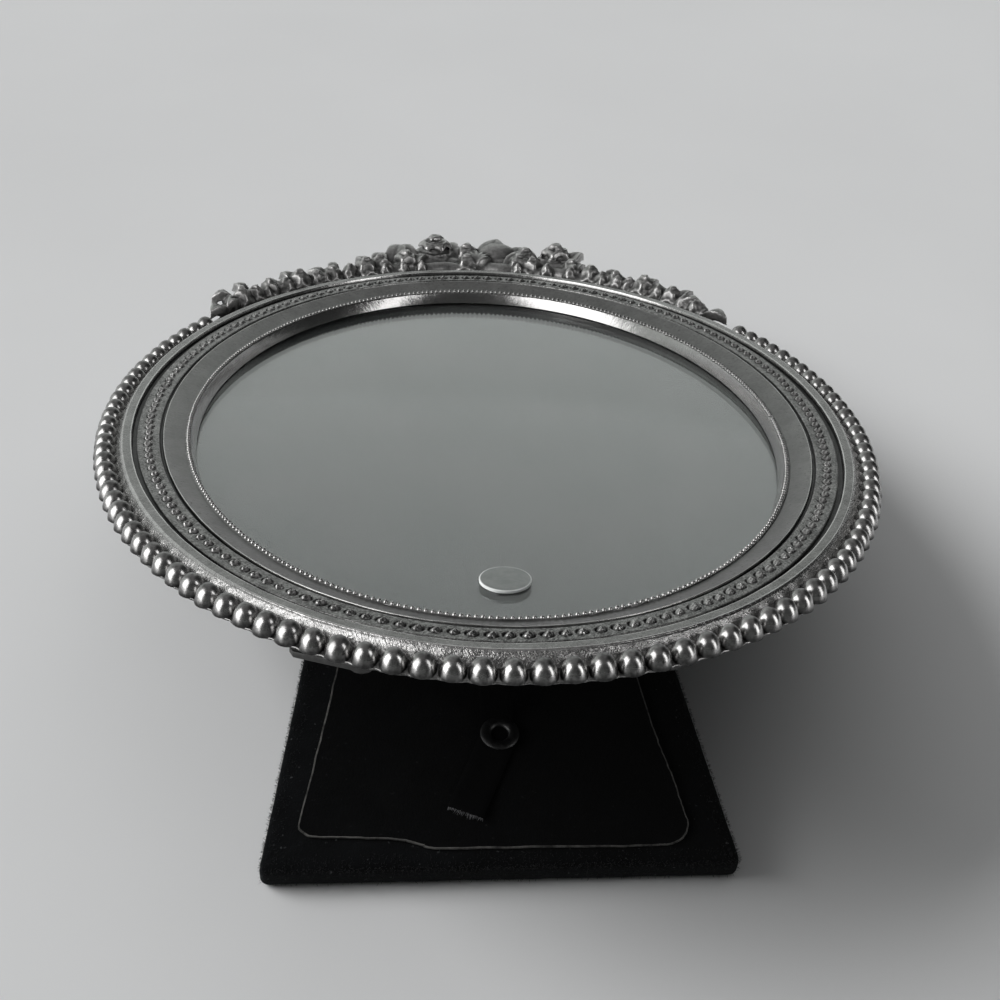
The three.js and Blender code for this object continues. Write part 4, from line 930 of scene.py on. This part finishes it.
hinge_leaf("hinge_leaf_on_back", leaf(0, LEAF_REACH, KNUCKLE - LEAF_THICK, KNUCKLE),
           [block((-NOTCH, -1, -CLEAR), (NOTCH, NOTCH_DEPTH, CLEAR))],
           [knuckle(-HINGE_HALF, -NOTCH), knuckle(NOTCH, HINGE_HALF)], PIN_PLACE, "frame", "hinge_back_leaf")
hinge_leaf("hinge_leaf_on_leg", leaf(-LEAF_REACH, 0, 0, LEAF_THICK),
           [block((-HINGE_HALF - 1, -NOTCH_DEPTH, -CLEAR), (-CENTRE_KNUCKLE, 1, CLEAR)),
            block((CENTRE_KNUCKLE, -NOTCH_DEPTH, -CLEAR), (HINGE_HALF + 1, 1, CLEAR))],
           [knuckle(-CENTRE_KNUCKLE, CENTRE_KNUCKLE)], LEG, "leg", "hinge_leg_leaf")
pin_head = [(0.8, 0), (1.25, 0), (1.3, 0.3), (1.2, 0.5), (0.9, 0.6)]
pin_profile = [(r, -PIN_END - z) for r, z in pin_head[::-1]] + [(r, PIN_END + z) for r, z in pin_head]
piece("hinge_pin_headed", moved(turned(pin_profile, 32), ACROSS), PIN_PLACE, BLACK_METAL,
      replaces=["hinge_pin"])
for side, x in (("left", -RIVET_X), ("right", RIVET_X)):
    piece(f"hinge_rivet_on_back_{side}", rivet(LEAF_THICK - KNUCKLE, BACK_SHANK_END),
          PIN_PLACE @ at(x, RIVET_REACH) @ spin(180, "X"), BLACK_METAL,
          replaces=[f"hinge_back_rivet_{side}"])
    piece(f"hinge_rivet_on_leg_{side}", rivet(LEAF_THICK, LEG_SHANK_END), LEG @ at(x, -RIVET_REACH), BLACK_METAL,
          body="leg", replaces=[f"hinge_leg_rivet_{side}"])


# Easel leg: a board wrapped in velvet, turned over its edges and lined

LEG_OUTER, FOLD_TOP, CLOTH = -6.2, -0.9, 0.45
LEG_BOARD_INSET, LEG_BOARD_REAR, LEG_BOARD_FRONT = 0.7, -5.52, -1.56
TURNED_EDGE = 10.0
PLUSH_LEAN, PLUSH_OUT, PLUSH_CORNER, PLUSH_UNEVEN = 0.4, 0.5, 1.6, 0.10
LEG_ARC, LEG_SIDE_STEPS = 7, 60
LINING_ARC, LINING_SIDE_STEPS = 5, 14


def leg_corners(inset, corner):
    corners = []
    end, top = LEG_LENGTH - inset, LEG_START + inset
    for side, reach in ((-1, end), (1, end), (1, top), (-1, top)):
        half = (LEG_HINGE_WIDTH + (LEG_END_WIDTH - LEG_HINGE_WIDTH) * reach / LEG_LENGTH) / 2 - inset
        corners.append((side * half, -reach, corner))
    return corners


def outward(line):
    """Ways from the middle of a line to its points."""
    return unit(line - line.mean(axis=0))


def leg_ring(inset, z, uneven=0.0, seed=0):
    line = rounded(leg_corners(inset, max(0.3, PLUSH_CORNER - inset * 0.6)), LEG_ARC, LEG_SIDE_STEPS)
    share = np.arange(len(line)) / len(line)
    line = line + outward(line) * ripple(share, seed, (9, 23, 41, 67, 97), uneven)[:, None]
    level = z + ripple(share, seed + 9, (11, 19, 47, 83), uneven * 0.6)
    return np.column_stack([line - [PLUSH_LEAN, 0], level])


def leg_cover():
    outside = [(14, LEG_OUTER), (6, LEG_OUTER), (1.8, LEG_OUTER), (0.7, -6.15), (0.0, -5.92), (-0.4, -5.4),
               (-PLUSH_OUT, -4.7), (-PLUSH_OUT, -3.7), (-PLUSH_OUT, -2.6), (-0.4, -1.7), (0.0, -1.15), (0.7, -0.93),
               (1.6, FOLD_TOP), (4, FOLD_TOP), (7, FOLD_TOP), (TURNED_EDGE - 0.3, FOLD_TOP - 0.02),
               (TURNED_EDGE, FOLD_TOP - 0.2)]
    inside = [(TURNED_EDGE, FOLD_TOP - CLOTH), (6, FOLD_TOP - CLOTH), (0.8, FOLD_TOP - CLOTH), (CLOTH, -1.9),
              (CLOTH, -5.2), (0.9, LEG_OUTER + CLOTH), (14, LEG_OUTER + CLOTH)]
    rings = [leg_ring(inset, z, PLUSH_UNEVEN if i else 0.0, i // 3) for i, (inset, z) in enumerate(outside)]
    return loft(rings + [leg_ring(inset, z) for inset, z in inside])


# Outline of the lining: distance down the leg, across it, and rounding
LINING_LINE = [
    (112.0, -37.0, 2.2), (113.6, -35.0, 1.0), (114.4, -19.5, 2.0), (115.2, -16.0, 1.5), (116.6, -13.0, 1.5),
    (116.8, 24.5, 3.0), (116.6, 31.5, 2.0), (113.5, 34.3, 2.0), (103.2, 32.7, 2.0), (90.8, 30.1, 2.0), (6.0, 18.6, 0.6),
    (6.0, -20.5, 0.6), (80.4, -31.0, 3.0),
]
# Rows of the lining from its underside round its cut edge to its face: inset, height and share of the edge's curl
LINING_ROWS = [
    (8, -0.62, 0), (1.2, -0.62, 0), (0.10, -0.60, 0), (0, -0.55, 0), (0, -0.22, 0.5), (0.06, -0.16, 0.5),
    (0.3, -0.19, 0.2), (1.2, -0.2, 0), (8, -0.2, 0),
]
CUT_EDGE_ROWS = (3, 6)


def lining():
    line = rounded([(x, -reach, r) for reach, x, r in LINING_LINE], LINING_ARC, LINING_SIDE_STEPS)
    share = np.arange(len(line)) / len(line)
    away = outward(line)
    line = line + away * ripple(share, 3, (13, 29, 53, 77), 0.16)[:, None]
    curl = ripple(share, 4, (7, 17, 31, 59), 0.10)
    return loft([np.column_stack([line - away * inset, z + bent * curl]) for inset, z, bent in LINING_ROWS])


leg_board = slab(rounded(leg_corners(LEG_BOARD_INSET, 0.8)), LEG_BOARD_REAR, LEG_BOARD_FRONT, 0.12)
piece("leg_panel", leg_board, LEG, BOARD, body="leg", replaces=["leg_board"])
leg_cloth = piece("leg_cover", leg_cover(), LEG, VELVET, body="leg", replaces=["leg_velvet"], smooth=70)
lining_cloth = piece("leg_lining_sheet", lining(), LEG, LINING, body="leg", replaces=["leg_lining"])
lining_cloth.data.materials.append(CUT_EDGE)
round_lining = len(LINING_LINE) * (LINING_ARC + LINING_SIDE_STEPS - 1)
row = np.arange(len(lining_cloth.data.polygons)) // round_lining
on_edge = (row >= CUT_EDGE_ROWS[0]) & (row < CUT_EDGE_ROWS[1])
lining_cloth.data.polygons.foreach_set("material_index", on_edge.astype(np.int32))


# Pile standing along the velvet's edges

PILE_COUNT, PILE_WIDTH, PILE_SHORT, PILE_LONG, PILE_STRAY = 9000, 0.045, 0.25, 0.75, 0.45
# The rounding of the plush that the hairs stand on, how far they go on along its top and side, and the floor, in metres
PLUSH_LEVEL, PLUSH_RISE, PLUSH_ROUND, PILE_TOP, PILE_SIDE, FLOOR_GAP = -1.62, 0.70, 0.75, 2.4, 3.9, 0.0003


def fibres(roots, ways, lengths, width):
    """Three sided tapered hairs with closed feet."""
    side = unit(np.cross(ways, [0.31, 0.52, 0.79]))
    other = np.cross(ways, side)
    feet = [roots + width * (math.cos(a) * side + math.sin(a) * other) for a in (0, 2.0944, 4.1888)]
    points = np.stack(feet + [roots + ways * lengths[:, None]], 1).reshape(-1, 3)
    base = np.arange(len(roots))[:, None, None] * 4
    return points, (base + [(0, 1, 3), (1, 2, 3), (2, 0, 3), (2, 1, 0)]).reshape(-1, 3).tolist()


def leg_pile(count):
    line = rounded(leg_corners(-PLUSH_OUT, PLUSH_CORNER), LEG_ARC, LEG_SIDE_STEPS) - [PLUSH_LEAN, 0]
    ring = np.concatenate([line, line[:1]])
    run = run_along(ring)
    places = random.uniform(0, run[-1], count)
    here = np.stack([np.interp(places, run, ring[:, k]) for k in (0, 1)], -1)
    ahead = np.stack([np.interp(places + 0.5, run, ring[:, k], period=run[-1]) for k in (0, 1)], -1)
    along = ahead - here
    along /= np.linalg.norm(along, axis=1)[:, None] + 1e-9
    out = np.stack([along[:, 1], -along[:, 0]], -1)
    lowest, upright = -0.35, np.pi / 2
    turn = random.uniform(lowest, upright + 0.4, count)
    inset = PLUSH_ROUND * (1 - np.cos(np.clip(turn, 0, upright))) + random.uniform(0, PILE_TOP, count) * (turn > 1.35)
    level = PLUSH_LEVEL + PLUSH_RISE * np.sin(np.clip(turn, lowest, upright))
    level -= random.uniform(0, PILE_SIDE, count) * (turn < 0.1)
    roots = np.column_stack([here - out * inset[:, None], level])
    ways = np.column_stack([out * np.cos(turn)[:, None], np.sin(turn)])
    ways = unit(ways + random.normal(0, PILE_STRAY, (count, 3)))
    lengths = random.uniform(PILE_SHORT, PILE_LONG, count)
    above_floor = moved((roots + ways * lengths[:, None], None), LEG)[0][:, 2] > FLOOR_GAP
    return fibres(roots[above_floor], ways[above_floor], lengths[above_floor], PILE_WIDTH)


pile = piece("leg_pile", leg_pile(PILE_COUNT), LEG, PILE, body="leg", replaces=["leg_velvet"],
             smooth=80)


# Stay ribbon and its eyelets

EYELET_X, EYELET_SIDES = 0.5, 56
LEG_EYELET = [
    (1.6, -6.7), (1.75, -6.78), (3.3, -6.8), (3.62, -6.72), (3.7, -6.55), (3.6, -6.32), (2.2, -6.3), (2.2, 0.5),
    (3.55, 0.5), (3.72, 0.6), (3.68, 0.82), (3.4, 1.02), (2.9, 1.13), (2.4, 1.12), (1.95, 0.98), (1.68, 0.72),
    (1.6, 0.4),
]
BACK_EYELET = [
    (1.6, -8.2), (1.68, -8.45), (1.95, -8.6), (2.5, -8.66), (3.1, -8.6), (3.5, -8.45), (3.7, -8.25), (3.6, -8.06),
    (2.2, -8.05), (2.2, -5.3), (1.6, -5.25),
]
RIBBON_COLUMNS = 13
# Heights of the ribbon on the back and on the leg, its hold past each eyelet, and its ends beyond them
ON_BACK, ON_LEG, STRAP_GRIP, BACK_END, LEG_END = -7.75, 0.22, 3.9, 6, 3.2
RIBBON_THICK, RIBBON_BEND, RIBBON_STEP = 0.34, 5.0, 1.2
# The loose tail: its way over the leg, its length, and how it lifts towards its cut end
TAIL_LEAN = math.radians(-23)
TAIL_WAY = np.array([math.sin(TAIL_LEAN), -math.cos(TAIL_LEAN), 0])
TAIL_SIDE = np.array([math.cos(TAIL_LEAN), math.sin(TAIL_LEAN), 0])
TAIL_LENGTH, TAIL_FLAT, TAIL_LIFT, TAIL_WIDER, TAIL_THICK = 18.6, 11, 0.5, 0.6, 0.32
FRAY_COUNT, FRAY_WIDTH, FRAY_HALF = 90, 0.07, 3.3

piece("strap_eyelet_on_leg", turned(LEG_EYELET, EYELET_SIDES, ring=True), LEG @ at(EYELET_X, -STRAP_LEG_REACH),
      BLACK_METAL, body="leg", replaces=["strap_leg_eyelet"])
piece("strap_eyelet_on_back", turned(BACK_EYELET, EYELET_SIDES, ring=True), FACE @ at(0, STRAP_BACK_Y),
      BLACK_METAL, replaces=["strap_back_eyelet"])


def eased(points, radius, arc=7):
    """An open line with its corners rounded."""
    line = [points[0]]
    for before, here, after in zip(points, points[1:], points[2:]):
        a, b = np.linalg.norm(before - here), np.linalg.norm(after - here)
        cut = min(radius, 0.45 * a, 0.45 * b)
        line += bend(here + (before - here) / a * cut, here, here + (after - here) / b * cut, arc)
    return np.array(line + [points[-1]])


def band(line, side, up, width, thick):
    """A ribbon round a line, with rounded selvedges and closed ends."""
    u = np.linspace(-1, 1, RIBBON_COLUMNS)
    edge = np.sqrt(np.clip(1 - u ** 8, 0.02, 1)) * thick / 2
    section = np.concatenate([np.stack([u * width / 2, edge], -1), np.stack([u[::-1] * width / 2, -edge[::-1]], -1)])
    return loft([(p + section[:, :1] * side + section[:, 1:] * n)[::-1] for p, n in zip(line, up)])


def ribbon():
    """The ribbon's mesh, with lengths kept for its weave, and the corners of its route on the face."""
    leg_from_face = at(0, HINGE_Y, HINGE_Z) @ Matrix.Rotation(LEG_OPEN, 4, "X")
    corners = [np.array((0, y, ON_BACK)) for y in (STRAP_BACK_Y + BACK_END, STRAP_BACK_Y - STRAP_GRIP)]
    corners += [np.array(leg_from_face @ Vector((0, -reach, ON_LEG)))
                for reach in (STRAP_LEG_REACH - STRAP_GRIP, STRAP_LEG_REACH + LEG_END)]
    line = eased(corners, RIBBON_BEND)
    dense = [line[0]]
    for a, b in zip(line, line[1:]):
        parts = max(1, int(np.linalg.norm(b - a) / RIBBON_STEP))
        dense += [a + (b - a) * (k + 1) / parts for k in range(parts)]
    line = np.array(dense)
    across = np.array([1.0, 0, 0])
    strip = band(line, across, np.cross(across, unit(np.gradient(line, axis=0))), STRAP_WIDTH, RIBBON_THICK)
    reach = np.linspace(0, TAIL_LENGTH, 32)
    tail = np.array([EYELET_X, -STRAP_LEG_REACH, 0.2]) + reach[:, None] * TAIL_WAY
    tail[:, 2] += TAIL_LIFT * smoothstep(TAIL_FLAT, TAIL_LENGTH, reach)
    loose = band(tail, TAIL_SIDE, np.repeat([[0, 0, 1.0]], len(tail), 0), STRAP_WIDTH + TAIL_WIDER, TAIL_THICK)
    mesh = mesh_of("stay_ribbon", merged([strip, moved(loose, leg_from_face)]), FACE)
    u = np.linspace(-1, 1, RIBBON_COLUMNS) * STRAP_WIDTH / 2
    woven = []
    for lengths in (run_along(line), reach):
        woven += [(x, s, 0) for s in lengths for x in (*u, *u[::-1])] + [(0, lengths[0], 0), (0, lengths[-1], 0)]
    set_values(mesh, "woven", woven, "FLOAT_VECTOR")
    return mesh, corners


ribbon_mesh, ribbon_corners = ribbon()
stay = piece("stay_ribbon", ribbon_mesh, None, RIBBON, body=None, replaces=["strap_ribbon"], smooth=60)
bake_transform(stay)


def fray(count):
    end = np.array([EYELET_X, -STRAP_LEG_REACH, 0.62]) + TAIL_WAY * (TAIL_LENGTH - 0.2)
    across = random.uniform(-FRAY_HALF, FRAY_HALF, count)
    roots = end + across[:, None] * TAIL_SIDE + random.uniform(-0.12, 0.12, (count, 1)) * [0, 0, 1]
    ways = unit(TAIL_WAY + random.normal(0, 0.22, (count, 3)))
    return fibres(roots, ways, random.uniform(0.5, 1.3, count), FRAY_WIDTH)


piece("ribbon_frayed_end", fray(FRAY_COUNT), LEG, FRAY, body="leg", replaces=["strap_ribbon"],
      smooth=80)


# Floor, light and camera

BACKDROP, BEHIND_GLASS = (0.60, 0.61, 0.615, 1), (0.93, 0.95, 0.94, 1)
ROOM_STOPS = [(0.10, (0.80, 0.84, 0.813)), (0.35, (0.72, 0.758, 0.732)), (0.70, grey(0.43)), (1.0, grey(0.30))]
FLOOR_HALF, LAMP_AIM = 6.0, Vector((0, 0, 0.04))
# The photograph's eye point on the face in millimetres, and the way it looks in degrees
EYE, EYE_DOWN, EYE_ROLL, EYE_YAW = Vector((-23.32, -306.64, 124.38)), 24.94, 1.97, 5.02
LENS, SENSOR = 57.6, 36.0


def sky():
    """A soft room: a pale far side, a dim ceiling and a darker right side; the backdrop is plain and pale."""
    world = bpy.data.worlds.new("soft_room")
    bpy.context.scene.world = world
    world.use_nodes = True
    tree = world.node_tree
    x, y, z = node(tree, "ShaderNodeSeparateXYZ", {0: coordinates(tree, "Generated")}).outputs
    height = ramp(tree, spread(tree, z, -0.2, 1.0, 0.0, 1.0), ROOM_STOPS)
    ahead = spread(tree, y, -0.7, 0.6, 0.14, 1.0)
    aside = spread(tree, x, 0.24, 0.52, 1.0, 0.06)
    patches = spread(tree, noise(tree, 5.0, 4, 0.6), 0.3, 0.7, 0.94, 1.06)
    level = math_node(tree, "MULTIPLY", math_node(tree, "MULTIPLY", ahead, aside), patches)
    rays = node(tree, "ShaderNodeLightPath", {}).outputs
    lit = mix(tree, rays["Is Transmission Ray"], mix(tree, 1.0, height, level, "MULTIPLY"), BEHIND_GLASS)
    shown = mix(tree, rays["Is Camera Ray"], lit, BACKDROP)
    fill(tree, tree.nodes["Background"], {"Color": shown, "Strength": 1.0})


def hung(name, lamp, azimuth, elevation, distance, mirrored):
    """A lamp aimed at the object from azimuth 0 in front or 90 to its right. It shows in metal or lights the floor."""
    a, e = math.radians(azimuth), math.radians(elevation)
    way = Vector((math.sin(a) * math.cos(e), -math.cos(a) * math.cos(e), math.sin(e)))
    made = linked(name, lamp)
    made.rotation_mode = "QUATERNION"
    made.rotation_quaternion = (-way).to_track_quat("-Z", "Y")
    made.location = way * distance + LAMP_AIM
    made.visible_camera = False
    made.visible_glossy = mirrored
    made.visible_diffuse = not mirrored


def window(name, azimuth, elevation, distance, width, height, power):
    """A soft panel that shows in the metal."""
    lamp = bpy.data.lights.new(name, "AREA")
    lamp.shape, lamp.size, lamp.size_y, lamp.energy = "RECTANGLE", width, height, power
    hung(name, lamp, azimuth, elevation, distance, True)


def overcast(name, azimuth, elevation, wide, strength):
    """Even light from a wide part of the room, which doesn't fall off along the floor."""
    lamp = bpy.data.lights.new(name, "SUN")
    lamp.angle, lamp.energy = math.radians(wide), strength
    hung(name, lamp, azimuth, elevation, 3.0, False)


def floor():
    made, tree = shader("pale_floor")
    tint = ramp(tree, noise(tree, 9, 3), [(0.3, (0.70, 0.705, 0.71)), (0.7, (0.73, 0.735, 0.74))])
    surface(made, {"Base Color": tint, "Roughness": 0.9, "Specular IOR Level": 0.1})
    corners = np.array([(-1, -1, 0), (1, -1, 0), (1, 1, 0), (-1, 1, 0)]) * FLOOR_HALF
    mesh = mesh_of("floor", (corners, [(0, 1, 2, 3)]), Matrix())
    mesh.materials.append(made)
    ground = linked("floor", mesh)


def camera():
    """The photograph's view: from above the near end of the frame, looking down along its face."""
    down, roll, yaw = (math.radians(a) for a in (EYE_DOWN, EYE_ROLL, EYE_YAW))
    ahead = Vector((math.sin(yaw) * math.cos(down), math.cos(yaw) * math.cos(down), -math.sin(down)))
    right = ahead.cross(Vector((0, 0, 1))).normalized()
    up = right.cross(ahead)
    x = right * math.cos(roll) + up * math.sin(roll)
    y = up * math.cos(roll) - right * math.sin(roll)
    axes = Matrix((x, y, -ahead)).transposed().to_4x4()
    made = linked("camera", bpy.data.cameras.new("camera"))
    made.data.lens, made.data.sensor_width = LENS, SENSOR
    made.data.clip_start, made.data.clip_end = 0.01, 30.0
    made.matrix_world = at(*(FACE @ EYE)) @ TURN @ axes
    bpy.context.scene.camera = made


sky()
window("left_window", -73, 26, 0.9, 0.76, 0.92, 7.0)
window("right_window", 62, 26, 0.9, 0.26, 0.86, 2.1)
overcast("left_wall", -105, 36, 38, 2.6)
overcast("ceiling_bounce", 180, 60, 110, 0.42)
floor()
camera()
bpy.context.scene.view_settings.view_transform = "Standard"
